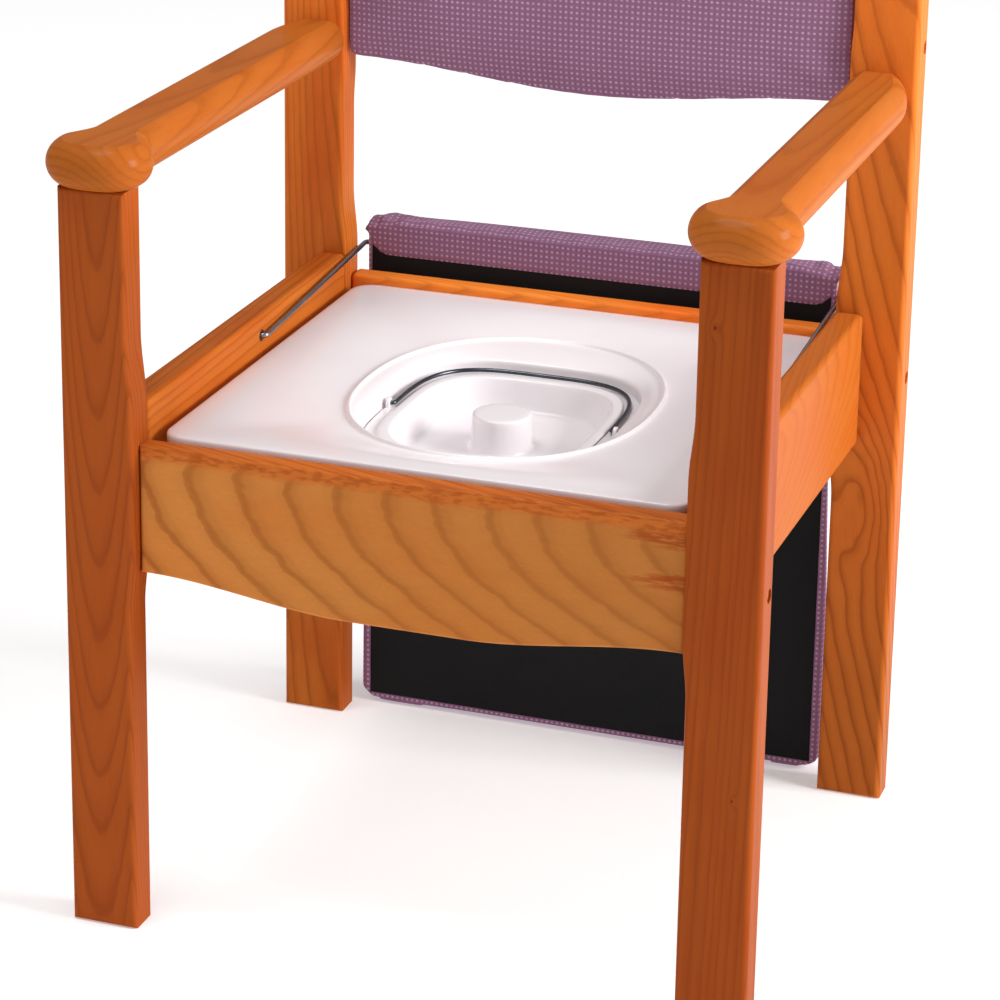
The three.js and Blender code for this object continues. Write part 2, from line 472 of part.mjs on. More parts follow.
// ------------------------------------------------------------------ backrest
{
  const zb = (x) => BACK_Z0 + BACK_Z0_SIDE * (1 - Math.cos(Math.PI * Math.abs(x) / BACK_X)) / 2;
  const zt = (x) => BACK_Z1 + BACK_ARCH * (1 + Math.cos(Math.PI * Math.abs(x) / BACK_X)) / 2;
  const loopAt = (y, inset, r = 10) => {
    const w = BACK_X - inset, out = [], N = 10;
    for (let i = 0; i <= N; i++) { const x = -(w - r) + 2 * (w - r) * i / N; out.push([x, zb(x) + inset]); }
    for (let i = 1; i <= 3; i++) { const t = (Math.PI / 2) * i / 4; out.push([w - r + r * Math.sin(t), zb(w) + inset + r * (1 - Math.cos(t))]); }
    for (let i = 0; i <= 4; i++) out.push([w, zb(w) + inset + r + (zt(w) - zb(w) - 2 * inset - 2 * r) * i / 4]);
    for (let i = 1; i <= 3; i++) { const t = (Math.PI / 2) * i / 4; out.push([w - r + r * Math.cos(t), zt(w) - inset - r + r * Math.sin(t)]); }
    for (let i = 0; i <= N; i++) { const x = (w - r) - 2 * (w - r) * i / N; out.push([x, zt(x) - inset]); }
    for (let i = 1; i <= 3; i++) { const t = (Math.PI / 2) * i / 4; out.push([-(w - r + r * Math.sin(t)), zt(w) - inset - r * (1 - Math.cos(t))]); }
    for (let i = 0; i <= 4; i++) out.push([-w, zt(w) - inset - r - (zt(w) - zb(w) - 2 * inset - 2 * r) * i / 4]);
    for (let i = 1; i <= 3; i++) { const t = (Math.PI / 2) * i / 4; out.push([-(w - r + r * Math.cos(t)), zb(w) + inset + r - r * Math.sin(t)]); }
    return out.map(([x, z]) => new THREE.Vector3(x, y, z));
  };
  const loops = [loopAt(BACK_Y1, 3), loopAt(BACK_Y1 - 1, 0)];
  for (const deg of [15, 35, 55, 72, 90]) {
    const t = deg * Math.PI / 180;
    loops.push(loopAt(BACK_Y0 + BACK_R - BACK_R * Math.sin(t), BACK_R * (1 - Math.cos(t))));
  }
  loops[1] = loopAt(BACK_Y0 + BACK_R - 0.1, 0);
  loops[0] = loopAt(BACK_Y1, 0.6);
  loops.push(loopAt(BACK_Y0 - BACK_CROWN * 0.55, BACK_R + 30), loopAt(BACK_Y0 - BACK_CROWN * 0.9, BACK_R + 55), loopAt(BACK_Y0 - BACK_CROWN, BACK_R + 72));
  put("backrest_cushion", loft(loops), M.fabric);
  const board = loft([loopAt(BACK_Y1 + GAP, 6), loopAt(BACK_Y1 + 12.3, 6)]);
  put("backrest_board", cut(board, ...holesFor(["back_lower", "back_upper"])), M.ply);
  put("backrest_back_cover", loft([loopAt(BACK_Y1 + 12.6, 4), loopAt(BACK_Y1 + 14.6, 4), loopAt(BACK_Y1 + 15.6, 5.5)]), M.fabric);
}

export default chair;
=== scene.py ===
import math
import random
import bpy
import bmesh
import numpy as np
from mathutils import Vector, Matrix


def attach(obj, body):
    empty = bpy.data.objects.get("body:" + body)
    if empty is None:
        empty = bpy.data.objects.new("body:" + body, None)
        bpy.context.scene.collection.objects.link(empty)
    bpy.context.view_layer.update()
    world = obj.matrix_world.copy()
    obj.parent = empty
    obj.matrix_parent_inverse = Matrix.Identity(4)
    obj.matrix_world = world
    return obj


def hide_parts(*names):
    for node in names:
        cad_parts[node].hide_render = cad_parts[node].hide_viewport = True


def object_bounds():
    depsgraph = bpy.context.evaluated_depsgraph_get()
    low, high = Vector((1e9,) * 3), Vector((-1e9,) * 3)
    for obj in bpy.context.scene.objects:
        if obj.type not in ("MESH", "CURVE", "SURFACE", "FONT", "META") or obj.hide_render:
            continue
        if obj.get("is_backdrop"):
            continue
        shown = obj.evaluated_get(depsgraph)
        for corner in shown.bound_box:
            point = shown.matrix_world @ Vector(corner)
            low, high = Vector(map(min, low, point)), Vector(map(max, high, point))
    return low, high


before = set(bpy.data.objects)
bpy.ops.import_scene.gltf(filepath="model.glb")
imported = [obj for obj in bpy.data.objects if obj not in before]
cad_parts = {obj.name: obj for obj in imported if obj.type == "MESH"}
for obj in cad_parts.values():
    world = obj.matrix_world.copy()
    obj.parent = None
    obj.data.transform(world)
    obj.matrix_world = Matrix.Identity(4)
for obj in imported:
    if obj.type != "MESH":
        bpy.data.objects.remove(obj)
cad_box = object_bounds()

SHIFT_Y = -275.5            # shapes are written in mm with Y from the front legs' front face
scene = bpy.context.scene


def P(x, y, z):
    return (x / 1000.0, (y + SHIFT_Y) / 1000.0, z / 1000.0)


def smooth(t):
    u = min(1.0, max(0.0, t))
    return u * u * (3 - 2 * u)


def lin(r, g, b):
    f = lambda c: (c / 255 / 12.92) if c <= 10.3 else ((c / 255 + 0.055) / 1.055) ** 2.4
    return (f(r), f(g), f(b), 1.0)


# =========================================================== material helpers
class Tree:
    """A Principled material and short ways to add the nodes that feed it."""

    def __init__(self, name):
        self.mat = bpy.data.materials.new(name)
        self.mat.use_nodes = True
        self.nt = self.mat.node_tree
        self.nt.nodes.clear()
        out = self.nt.nodes.new("ShaderNodeOutputMaterial")
        self.bsdf = self.nt.nodes.new("ShaderNodeBsdfPrincipled")
        self.nt.links.new(self.bsdf.outputs[0], out.inputs[0])
        self._tc = None

    @property
    def tc(self):
        if self._tc is None:
            self._tc = self.nt.nodes.new("ShaderNodeTexCoord")
        return self._tc

    @property
    def obj(self):
        return self.tc.outputs["Object"]

    @property
    def normal(self):
        return self.tc.outputs["Normal"]

    def put(self, socket, value):
        if value is None:
            return
        if isinstance(value, bpy.types.NodeSocket):
            self.nt.links.new(value, socket)
        else:
            socket.default_value = value

    def math(self, op, a, b=None, c=None, clamp=False):
        n = self.nt.nodes.new("ShaderNodeMath")
        n.operation = op
        n.use_clamp = clamp
        for s, v in zip(n.inputs, (a, b, c)):
            self.put(s, v)
        return n.outputs[0]

    def vmath(self, op, a, b=None, scale=None):
        n = self.nt.nodes.new("ShaderNodeVectorMath")
        n.operation = op
        self.put(n.inputs[0], a)
        if b is not None:
            self.put(n.inputs[1], b)
        if scale is not None:
            self.put(n.inputs["Scale"], scale)
        return n.outputs["Value"] if op in ("DOT_PRODUCT", "LENGTH", "DISTANCE") else n.outputs[0]

    def comb(self, x, y, z):
        n = self.nt.nodes.new("ShaderNodeCombineXYZ")
        for s, v in zip(n.inputs, (x, y, z)):
            self.put(s, v)
        return n.outputs[0]

    def sep(self, v):
        n = self.nt.nodes.new("ShaderNodeSeparateXYZ")
        self.put(n.inputs[0], v)
        return n.outputs

    def noise(self, vec, scale, detail=2.0, rough=0.5, colour=False, dims="3D", w=None):
        n = self.nt.nodes.new("ShaderNodeTexNoise")
        n.noise_dimensions = dims
        if dims != "1D":
            self.put(n.inputs["Vector"], vec)
        if w is not None:
            self.put(n.inputs["W"], w)
        n.inputs["Scale"].default_value = scale
        n.inputs["Detail"].default_value = detail
        n.inputs["Roughness"].default_value = rough
        return n.outputs["Color"] if colour else n.outputs["Fac"]

    def ramp(self, fac, stops, interp="LINEAR"):
        n = self.nt.nodes.new("ShaderNodeValToRGB")
        cr = n.color_ramp
        cr.interpolation = interp
        while len(cr.elements) > 1:
            cr.elements.remove(cr.elements[-1])
        cr.elements[0].position = stops[0][0]
        cr.elements[0].color = self._c(stops[0][1])
        for p, c in stops[1:]:
            e = cr.elements.new(p)
            e.color = self._c(c)
        self.put(n.inputs[0], fac)
        return n.outputs[0]

    @staticmethod
    def _c(c):
        return (c, c, c, 1.0) if isinstance(c, (int, float)) else c

    def rng(self, v, a, b, c, d, clamp=True, smooth_step=False):
        n = self.nt.nodes.new("ShaderNodeMapRange")
        n.clamp = clamp
        if smooth_step:
            n.interpolation_type = "SMOOTHSTEP"
        for s, x in zip(n.inputs, (v, a, b, c, d)):
            self.put(s, x)
        return n.outputs[0]

    def mix(self, fac, a, b, blend="MIX"):
        n = self.nt.nodes.new("ShaderNodeMix")
        n.data_type = "RGBA"
        n.blend_type = blend
        self.put(n.inputs["Factor"], fac)
        self.put(n.inputs[6], a)
        self.put(n.inputs[7], b)
        return n.outputs[2]

    def bump(self, height, strength, distance, normal=None):
        n = self.nt.nodes.new("ShaderNodeBump")
        n.inputs["Strength"].default_value = strength
        n.inputs["Distance"].default_value = distance
        self.put(n.inputs["Height"], height)
        if normal is not None:
            self.put(n.inputs["Normal"], normal)
        return n.outputs[0]

    def base(self, v):
        self.put(self.bsdf.inputs["Base Color"], v)

    def set(self, **kw):
        for k, v in kw.items():
            self.put(self.bsdf.inputs[k.replace("_", " ")], v)
        return self


# ------------------------------------------------------------------ pine
def wood(name, axis, pith, spacing, light, dark, seed, contrast=1.0, warp=0.004, warp_scale=9.0,
         fibre=0.16, tone=0.25, knots=(), stretch=0.16, rough=0.33, red=None, streak=0.0, width_var=0.5,
         up=None, skew=0.0, flames=(), gain=(1, 1, 1), core=0.75, painted_light_ramp=None, painted_light_axis=2, band=None):
    """Solid wood cut from a log: rings round a pith line, fine fibres along it."""
    t = Tree(name)
    a = Vector(axis).normalized()
    if up is None:
        e1 = a.orthogonal().normalized()
        e2 = a.cross(e1).normalized()
    else:
        e2 = Vector(up)
        e2 = (e2 - a * e2.dot(a)).normalized()
        e1 = a.cross(e2).normalized()
    light, dark = (tuple(c * g for c, g in zip(v, gain)) + (1,) for v in (light, dark))
    if red is not None:
        red = tuple(c * g for c, g in zip(red, gain)) + (1,)
    q = t.vmath("SUBTRACT", t.obj, P(*pith))
    u = t.vmath("DOT_PRODUCT", q, tuple(e1))
    w = t.vmath("DOT_PRODUCT", q, tuple(e2))
    s = t.vmath("DOT_PRODUCT", q, tuple(a))
    along = t.math("MULTIPLY", s, stretch)
    slow = t.comb(t.math("ADD", u, seed * 1.37), t.math("ADD", w, seed * 0.71), along)
    n1 = t.sep(t.noise(slow, warp_scale, 2.0, 0.45, colour=True))
    u1 = t.math("ADD", u, t.math("MULTIPLY", t.math("SUBTRACT", n1[0], 0.5), warp * 2))
    w1 = t.math("ADD", w, t.math("MULTIPLY", t.math("SUBTRACT", n1[1], 0.5), warp * 2))
    if skew:
        w1 = t.math("ADD", w1, t.math("MULTIPLY", t.math("MAXIMUM", w1, 0.0), skew))
    r = t.vmath("LENGTH", t.comb(u1, w1, 0.0))
    rings = t.math("DIVIDE", r, spacing)
    # ring width changes from year to year, and each line wavers a little
    rings = t.math("ADD", rings, t.math("MULTIPLY", t.noise(None, 1.0, 2.0, 0.5, dims="1D",
                   w=t.math("ADD", t.math("MULTIPLY", rings, 0.45), seed * 3.1)), width_var * 2))
    wob = t.noise(t.comb(u, w, t.math("MULTIPLY", s, 0.5)), 60.0, 2.0, 0.5)
    rings = t.math("ADD", rings, t.math("MULTIPLY", t.math("SUBTRACT", wob, 0.5), 0.30))
    knot_mask = None
    for (kx, ky, kz), kr, amp, (sx, sy, sz) in knots:
        kq = t.vmath("MULTIPLY", t.vmath("SUBTRACT", t.obj, P(kx, ky, kz)), (1.0 / sx, 1.0 / sy, 1.0 / sz))
        wv = t.noise(t.obj, 26.0, 1.0, 0.5)
        d = t.math("ADD", t.vmath("LENGTH", kq), t.math("MULTIPLY", t.math("SUBTRACT", wv, 0.5), kr * 0.5 / 1000))
        g = t.math("EXPONENT", t.math("MULTIPLY", t.math("POWER", t.math("DIVIDE", d, kr / 1000), 2.0), -1.0))
        rings = t.math("ADD", rings, t.math("MULTIPLY", g, amp))
        pip = t.rng(d, kr * 0.06 / 1000, kr * 0.30 / 1000, 1.0, 0.0, smooth_step=True)
        knot_mask = pip if knot_mask is None else t.math("MAXIMUM", knot_mask, pip)
    f = t.math("FRACT", rings)
    late = t.ramp(f, [(0.0, 0.14), (0.22, 0.0), (0.50, 0.08), (0.72, 0.42), (0.86, 1.0), (0.93, 0.86), (1.0, 0.14)], "EASE")
    fade = t.rng(t.noise(slow, 5.0, 2.0, 0.5), 0.3, 0.7, 0.55, 1.1)
    late = t.math("MULTIPLY", t.math("MULTIPLY", late, fade), contrast, clamp=True)
    # fibres, long and thin along the board
    fib = t.noise(t.comb(t.math("MULTIPLY", u, 1.0), t.math("MULTIPLY", w, 1.0), t.math("MULTIPLY", s, 0.022)), 720.0, 3.0, 0.6)
    fib2 = t.noise(t.comb(u, w, t.math("MULTIPLY", s, 0.05)), 210.0, 2.0, 0.55)
    blotch = t.noise(t.comb(u, w, t.math("MULTIPLY", s, 0.35)), 14.0, 3.0, 0.55)
    col = t.mix(late, light, dark)
    if red is not None:
        col = t.mix(t.rng(blotch, 0.35, 0.72, 0.0, 1.0, smooth_step=True), col, t.mix(late, red, dark))
    if streak:
        st = t.noise(t.comb(u, w, t.math("MULTIPLY", s, 0.03)), 75.0, 2.0, 0.5)
        col = t.mix(t.math("MULTIPLY", t.rng(st, 0.52, 0.68, 0.0, 1.0), streak), col, dark)
    k = t.math("ADD", 1.0 - fibre * 0.5, t.math("MULTIPLY", fib, fibre))
    k = t.math("MULTIPLY", k, t.math("ADD", 1.0 - fibre * 0.4, t.math("MULTIPLY", fib2, fibre * 0.8)))
    k = t.math("MULTIPLY", k, t.math("ADD", 1.0 - tone * 0.5, t.math("MULTIPLY", blotch, tone)))
    # painted light: the colour is ramped from k0 to k1 along one axis, standing in for light falling off across the
    # board
    if painted_light_ramp:
        z0, z1, k0, k1 = painted_light_ramp
        k = t.math("MULTIPLY", k, t.rng(t.sep(t.obj)[painted_light_axis], z0 / 1000, z1 / 1000, k0, k1))
    col = t.mix(1.0, col, t.comb(k, k, k), "MULTIPLY")
    # resin canals, short thin dashes
    dash = t.noise(t.comb(u, w, t.math("MULTIPLY", s, 0.08)), 1500.0, 0.0, 0.5)
    dash = t.rng(dash, 0.76, 0.84, 0.0, 0.30)
    col = t.mix(dash, col, dark)
    for (kx, ky, kz), (sx, sy, sz) in flames:
        fq = t.vmath("MULTIPLY", t.vmath("SUBTRACT", t.obj, P(kx, ky, kz)), (1000.0 / sx, 1000.0 / sy, 1000.0 / sz))
        near = t.rng(t.vmath("LENGTH", fq), 0.25, 1.0, 1.0, 0.0, smooth_step=True)
        lick = t.noise(t.comb(t.math("MULTIPLY", u, 0.3), w, t.math("MULTIPLY", s, 0.13)), 300.0, 3.0, 0.6)
        m = t.math("MULTIPLY", near, t.rng(t.math("ADD", lick, t.math("MULTIPLY", near, 0.16)), 0.50, 0.66, 0.0, 1.0, smooth_step=True))
        col = t.mix(t.math("MULTIPLY", m, 0.8), col, (dark[0] * 1.22, dark[1] * 0.62, dark[2] * 0.42, 1))
    if band is not None:
        # heartwood along one edge, its lines running lengthwise
        z0, z1, tint, tint_dark = band
        edge = t.noise(t.comb(t.math("MULTIPLY", s, 0.12), u, 0.0), 40.0, 2.0, 0.5)
        at = t.math("ADD", t.sep(t.obj)[2], t.math("MULTIPLY", t.math("SUBTRACT", edge, 0.5), 0.010))
        m = t.rng(at, z0 / 1000, z1 / 1000, 0.0, 0.85, smooth_step=True)
        line = t.noise(t.comb(u, w, t.math("MULTIPLY", s, 0.02)), 330.0, 2.0, 0.5)
        col = t.mix(m, col, t.mix(t.rng(line, 0.42, 0.62, 0.0, 0.8, smooth_step=True), tint, tint_dark))
    if knot_mask is not None:
        kc = (dark[0] * 0.55, dark[1] * 0.42, dark[2] * 0.45, 1)
        col = t.mix(t.math("MULTIPLY", knot_mask, core), col, kc)
    t.base(col)
    h = t.math("ADD", t.math("MULTIPLY", fib, 0.7), t.math("MULTIPLY", late, 0.35))
    t.put(t.bsdf.inputs["Normal"], t.bump(h, 0.14, 0.0005))
    t.put(t.bsdf.inputs["Roughness"], t.math("ADD", t.math("MULTIPLY", fib2, 0.16), rough - 0.06))
    t.set(Specular_IOR_Level=0.01, Coat_Weight=0.08, Coat_Roughness=0.18)
    return t.mat


def lumber(name, light, dark, axis, seed, scale=1.0):
    """Plain unvarnished timber for the hidden battens and blocks."""
    t = Tree(name)
    a = Vector(axis).normalized()
    s = t.vmath("DOT_PRODUCT", t.obj, tuple(a))
    flat = t.vmath("SUBTRACT", t.obj, t.vmath("SCALE", tuple(a), scale=t.math("MULTIPLY", s, 0.93)))
    n = t.noise(flat, 60.0 * scale, 3.0, 0.55)
    f = t.math("FRACT", t.math("MULTIPLY", t.noise(flat, 16.0 * scale, 1.0, 0.4), 9.0))
    late = t.ramp(f, [(0.0, 0.0), (0.6, 0.2), (0.9, 1.0), (1.0, 0.0)], "EASE")
    col = t.mix(late, light, dark)
    k = t.math("ADD", 0.82, t.math("MULTIPLY", n, 0.36))
    t.base(t.mix(1.0, col, t.comb(k, k, k), "MULTIPLY"))
    t.put(t.bsdf.inputs["Normal"], t.bump(t.noise(flat, 800.0, 3.0, 0.6), 0.3, 0.0006))
    t.put(t.bsdf.inputs["Roughness"], t.math("ADD", 0.6, t.math("MULTIPLY", n, 0.2)))
    return t.mat


def plywood(name):
    t = Tree(name)
    x, y, z = t.sep(t.obj)
    ply = t.math("PINGPONG", t.math("ADD", y, 0.5), 0.0016)
    band = t.rng(ply, 0.0002, 0.0012, 0.0, 1.0)
    grain = t.noise(t.comb(t.math("MULTIPLY", x, 0.06), y, z), 260.0, 3.0, 0.6)
    col = t.mix(band, lin(196, 160, 112), lin(150, 112, 70))
    k = t.math("ADD", 0.8, t.math("MULTIPLY", grain, 0.4))
    t.base(t.mix(1.0, col, t.comb(k, k, k), "MULTIPLY"))
    t.put(t.bsdf.inputs["Normal"], t.bump(grain, 0.3, 0.0006))
    t.put(t.bsdf.inputs["Roughness"], t.math("ADD", 0.62, t.math("MULTIPLY", grain, 0.2)))
    return t.mat


# ---------------------------------------------------------------- fabric
PITCH = 0.0052


def fabric(name, base=(149, 106, 137), dot=(198, 170, 193), gap=(126, 84, 115)):
    """Woven upholstery: ribs in two directions with a raised light dot at each crossing."""
    t = Tree(name)
    x, y, z = t.sep(t.obj)
    nx, ny, nz = t.sep(t.normal)
    ax, ay, az = (t.math("ABSOLUTE", c) for c in (nx, ny, nz))
    wx = t.math("GREATER_THAN", ax, t.math("MAXIMUM", ay, az))
    wz = t.math("MULTIPLY", t.math("GREATER_THAN", az, ay), t.math("SUBTRACT", 1.0, wx))
    # the two coordinates that lie along the cloth on this side
    a = t.math("ADD", t.math("MULTIPLY", wx, t.math("SUBTRACT", y, x)), x)
    b = t.math("ADD", t.math("MULTIPLY", wz, t.math("SUBTRACT", y, z)), z)
    drift = t.sep(t.noise(t.obj, 22.0, 1.0, 0.5, colour=True))
    a = t.math("ADD", a, t.math("MULTIPLY", t.math("SUBTRACT", drift[0], 0.5), 0.0011))
    b = t.math("ADD", b, t.math("MULTIPLY", t.math("SUBTRACT", drift[1], 0.5), 0.0011))
    ua, ub = t.math("DIVIDE", a, PITCH), t.math("DIVIDE", b, PITCH)
    fa = t.math("ABSOLUTE", t.math("SUBTRACT", t.math("FRACT", t.math("ADD", ua, 50.0)), 0.5))
    fb = t.math("ABSOLUTE", t.math("SUBTRACT", t.math("FRACT", t.math("ADD", ub, 50.0)), 0.5))
    d = t.math("POWER", t.math("ADD", t.math("POWER", fa, 3.0), t.math("POWER", t.math("MULTIPLY", fb, 1.15), 3.0)), 1 / 3)
    cell = t.comb(t.math("FLOOR", t.math("ADD", ua, 50.0)), t.math("FLOOR", t.math("ADD", ub, 50.0)), 0.0)
    wn = t.nt.nodes.new("ShaderNodeTexWhiteNoise")
    wn.noise_dimensions = "3D"
    t.put(wn.inputs["Vector"], cell)
    each = wn.outputs["Value"]
    dots = t.rng(d, 0.13, 0.26, 1.0, 0.0, smooth_step=True)
    dots = t.math("MULTIPLY", dots, t.math("ADD", 0.72, t.math("MULTIPLY", each, 0.4)), clamp=True)
    ribs = t.math("MAXIMUM", t.rng(fa, 0.30, 0.5, 0.0, 1.0), t.math("MULTIPLY", t.rng(fb, 0.36, 0.5, 0.0, 1.0), 0.75))
    # single threads, over and under
    ta = t.math("SINE", t.math("MULTIPLY", ua, 2 * math.pi * 6))
    tb = t.math("SINE", t.math("MULTIPLY", ub, 2 * math.pi * 6))
    weave = t.math("MULTIPLY", ta, tb)
    slub = t.noise(t.comb(t.math("MULTIPLY", a, 0.12), b, 0.0), 420.0, 2.0, 0.6)
    tone = t.noise(t.obj, 9.0, 3.0, 0.5)
    col = t.mix(t.math("MULTIPLY", ribs, 0.55), lin(*base), lin(*gap))
    col = t.mix(dots, col, lin(*dot))
    k = t.math("ADD", t.math("ADD", 0.90, t.math("MULTIPLY", weave, 0.07)), t.math("MULTIPLY", slub, 0.20))
    k = t.math("MULTIPLY", k, t.math("ADD", 0.90, t.math("MULTIPLY", tone, 0.20)))
    t.base(t.mix(1.0, col, t.comb(k, k, k), "MULTIPLY"))
    h = t.math("ADD", t.math("MULTIPLY", dots, 1.0), t.math("MULTIPLY", weave, 0.22))
    h = t.math("SUBTRACT", h, t.math("MULTIPLY", ribs, 0.5))
    t.put(t.bsdf.inputs["Normal"], t.bump(h, 0.5, 0.0006))
    t.put(t.bsdf.inputs["Roughness"], t.math("SUBTRACT", 0.86, t.math("MULTIPLY", dots, 0.14)))
    t.set(Specular_IOR_Level=0.25, Sheen_Weight=0.35, Sheen_Roughness=0.45, Sheen_Tint=lin(206, 170, 200))
    return t.mat


def bottom_cloth(name):
    """Black non-woven dust cover with an embossed point grid."""
    t = Tree(name)
    x, y, z = t.sep(t.obj)
    p = 0.0016
    fa = t.math("ABSOLUTE", t.math("SUBTRACT", t.math("FRACT", t.math("ADD", t.math("DIVIDE", t.math("ADD", x, z), p), 900.0)), 0.5))
    fb = t.math("ABSOLUTE", t.math("SUBTRACT", t.math("FRACT", t.math("ADD", t.math("DIVIDE", t.math("SUBTRACT", x, z), p), 900.0)), 0.5))
    pts = t.rng(t.math("ADD", fa, fb), 0.12, 0.34, 1.0, 0.0)
    n = t.noise(t.obj, 500.0, 3.0, 0.6)
    big = t.noise(t.obj, 7.0, 2.0, 0.5)
    v = t.math("ADD", t.math("MULTIPLY", n, 0.006), t.math("MULTIPLY", big, 0.004))
    v = t.math("ADD", v, t.math("MULTIPLY", pts, 0.003))
    v = t.math("ADD", v, 0.0035)
    t.base(t.comb(v, v, t.math("MULTIPLY", v, 1.08)))
    t.put(t.bsdf.inputs["Normal"], t.bump(t.math("SUBTRACT", n, t.math("MULTIPLY", pts, 0.8)), 0.35, 0.0003))
    t.put(t.bsdf.inputs["Roughness"], t.math("ADD", 0.78, t.math("MULTIPLY", n, 0.15)))
    t.set(Specular_IOR_Level=0.2)
    return t.mat


# --------------------------------------------------------------- plastics
def plastic(name, col=(243, 238, 240), rough=0.17, seed=0.0):
    t = Tree(name)
    tone = t.noise(t.vmath("ADD", t.obj, (seed, seed, 0)), 5.0, 3.0, 0.5)
    peel = t.noise(t.obj, 170.0, 2.0, 0.5)
    fine = t.noise(t.obj, 1400.0, 2.0, 0.6)
    a = lin(*col)
    b = lin(col[0] - 7, col[1] - 8, col[2] - 7)
    t.base(t.mix(t.rng(tone, 0.3, 0.7, 0.0, 1.0), a, b))
    t.put(t.bsdf.inputs["Normal"], t.bump(t.math("ADD", peel, t.math("MULTIPLY", fine, 0.15)), 0.05, 0.0005))
    t.put(t.bsdf.inputs["Roughness"], t.math("ADD", rough, t.math("MULTIPLY", tone, 0.08)))
    t.set(Specular_IOR_Level=0.5, Subsurface_Weight=0.06, Subsurface_Scale=0.004)
    t.bsdf.inputs["Subsurface Radius"].default_value = (1.0, 0.9, 0.85)
    return t.mat


def nylon(name):
    t = Tree(name)
    n = t.noise(t.obj, 600.0, 3.0, 0.6)
    t.base(t.mix(n, lin(46, 38, 34), lin(66, 56, 50)))
    t.put(t.bsdf.inputs["Normal"], t.bump(n, 0.2, 0.0002))
    t.put(t.bsdf.inputs["Roughness"], t.math("ADD", 0.4, t.math("MULTIPLY", n, 0.2)))
    return t.mat


def steel(name, col, rough, axis):
    t = Tree(name)
    a = Vector(axis).normalized()
    s = t.vmath("DOT_PRODUCT", t.obj, tuple(a))
    flat = t.vmath("SUBTRACT", t.obj, t.vmath("SCALE", tuple(a), scale=t.math("MULTIPLY", s, 0.96)))
    draw = t.noise(flat, 2600.0, 2.0, 0.6)
    tone = t.noise(t.obj, 40.0, 3.0, 0.5)
    c = lin(*col)
    d = tuple(v * 0.72 for v in c[:3]) + (1,)
    t.base(t.mix(t.rng(tone, 0.35, 0.75, 0.0, 1.0), c, d))
    t.put(t.bsdf.inputs["Normal"], t.bump(draw, 0.12, 0.0002))
    t.put(t.bsdf.inputs["Roughness"], t.math("ADD", rough, t.math("MULTIPLY", draw, 0.16)))
    t.set(Metallic=1.0)
    return t.mat


# ============================================================== mesh helpers
def new_object(name, verts, faces, mat, sharp=32, weighted=True, subsurf=0):
    me = bpy.data.meshes.new(name)
    me.from_pydata([P(*v) for v in verts], [], [list(f) for f in faces])
    me.update()
    bm = bmesh.new()
    bm.from_mesh(me)
    bmesh.ops.remove_doubles(bm, verts=bm.verts, dist=1e-6)
    bmesh.ops.recalc_face_normals(bm, faces=bm.faces)
    bm.to_mesh(me)
    bm.free()
    ob = bpy.data.objects.new(name, me)
    scene.collection.objects.link(ob)
    me.shade_smooth()
    if sharp:
        me.set_sharp_from_angle(angle=math.radians(sharp))
    me.materials.append(mat)
    if subsurf:
        m = ob.modifiers.new("round", "SUBSURF")
        m.levels = m.render_levels = subsurf
    if weighted:
        m = ob.modifiers.new("flat", "WEIGHTED_NORMAL")
        m.keep_sharp = True
        m.weight = 60
    return ob


def loft(loops, closed=False, caps=True):
    n = len(loops[0])
    verts = [p for l in loops for p in l]
    faces = []
    m = len(loops)
    for i in range(m if closed else m - 1):
        a, b = i * n, ((i + 1) % m) * n
        for j in range(n):
            k = (j + 1) % n
            faces.append((a + j, a + k, b + k, b + j))
    if not closed and caps:
        faces.append(tuple(range(n - 1, -1, -1)))
        faces.append(tuple(range((m - 1) * n, m * n)))
    return verts, faces


def area2(poly):
    return sum(poly[i][0] * poly[(i + 1) % len(poly)][1] - poly[(i + 1) % len(poly)][0] * poly[i][1] for i in range(len(poly)))


def inset(poly, d, fixed=()):
    """Outline moved inwards by d, mitred; vertices in fixed move along the first coordinate only."""
    n = len(poly)
    ccw = area2(poly) > 0
    out = []
    for i in range(n):
        p0, p1, p2 = poly[i - 1], poly[i], poly[(i + 1) % n]
        e1 = (p1[0] - p0[0], p1[1] - p0[1])
        e2 = (p2[0] - p1[0], p2[1] - p1[1])
        l1, l2 = math.hypot(*e1), math.hypot(*e2)
        n1 = (-e1[1] / l1, e1[0] / l1)
        n2 = (-e2[1] / l2, e2[0] / l2)
        if not ccw:
            n1, n2 = (-n1[0], -n1[1]), (-n2[0], -n2[1])
        if i in fixed:
            side = n1 if abs(n1[0]) > abs(n2[0]) else n2
            out.append((p1[0] + d / side[0], p1[1]))
            continue
        k = 1 + n1[0] * n2[0] + n1[1] * n2[1]
        out.append((p1[0] + d * (n1[0] + n2[0]) / k, p1[1] + d * (n1[1] + n2[1]) / k))
    return out


def slab(points, lo, hi, r, axis="y", seg=6, fixed=(), rows=None):
    """An outline pushed through from lo to hi with every arris rounded."""
    given, rows = rows, []
    for i in range(seg + 1):
        t = math.pi / 2 * i / seg
        rows.append((r * (1 - math.sin(t)), lo + r * (1 - math.cos(t))))
    for i in range(seg, -1, -1):
        t = math.pi / 2 * i / seg
        rows.append((r * (1 - math.sin(t)), hi - r * (1 - math.cos(t))))
    rows = given or rows
    put = {"y": lambda p, d: (p[0], d, p[1]), "z": lambda p, d: (p[0], p[1], d), "x": lambda p, d: (d, p[0], p[1])}[axis]
    return loft([[put(p, d) for p in inset(points, ins, fixed)] for ins, d in rows])


def superR(t, a, b, n):
    return 1 / ((abs(math.cos(t)) / a) ** n + (abs(math.sin(t)) / b) ** n) ** (1 / n)


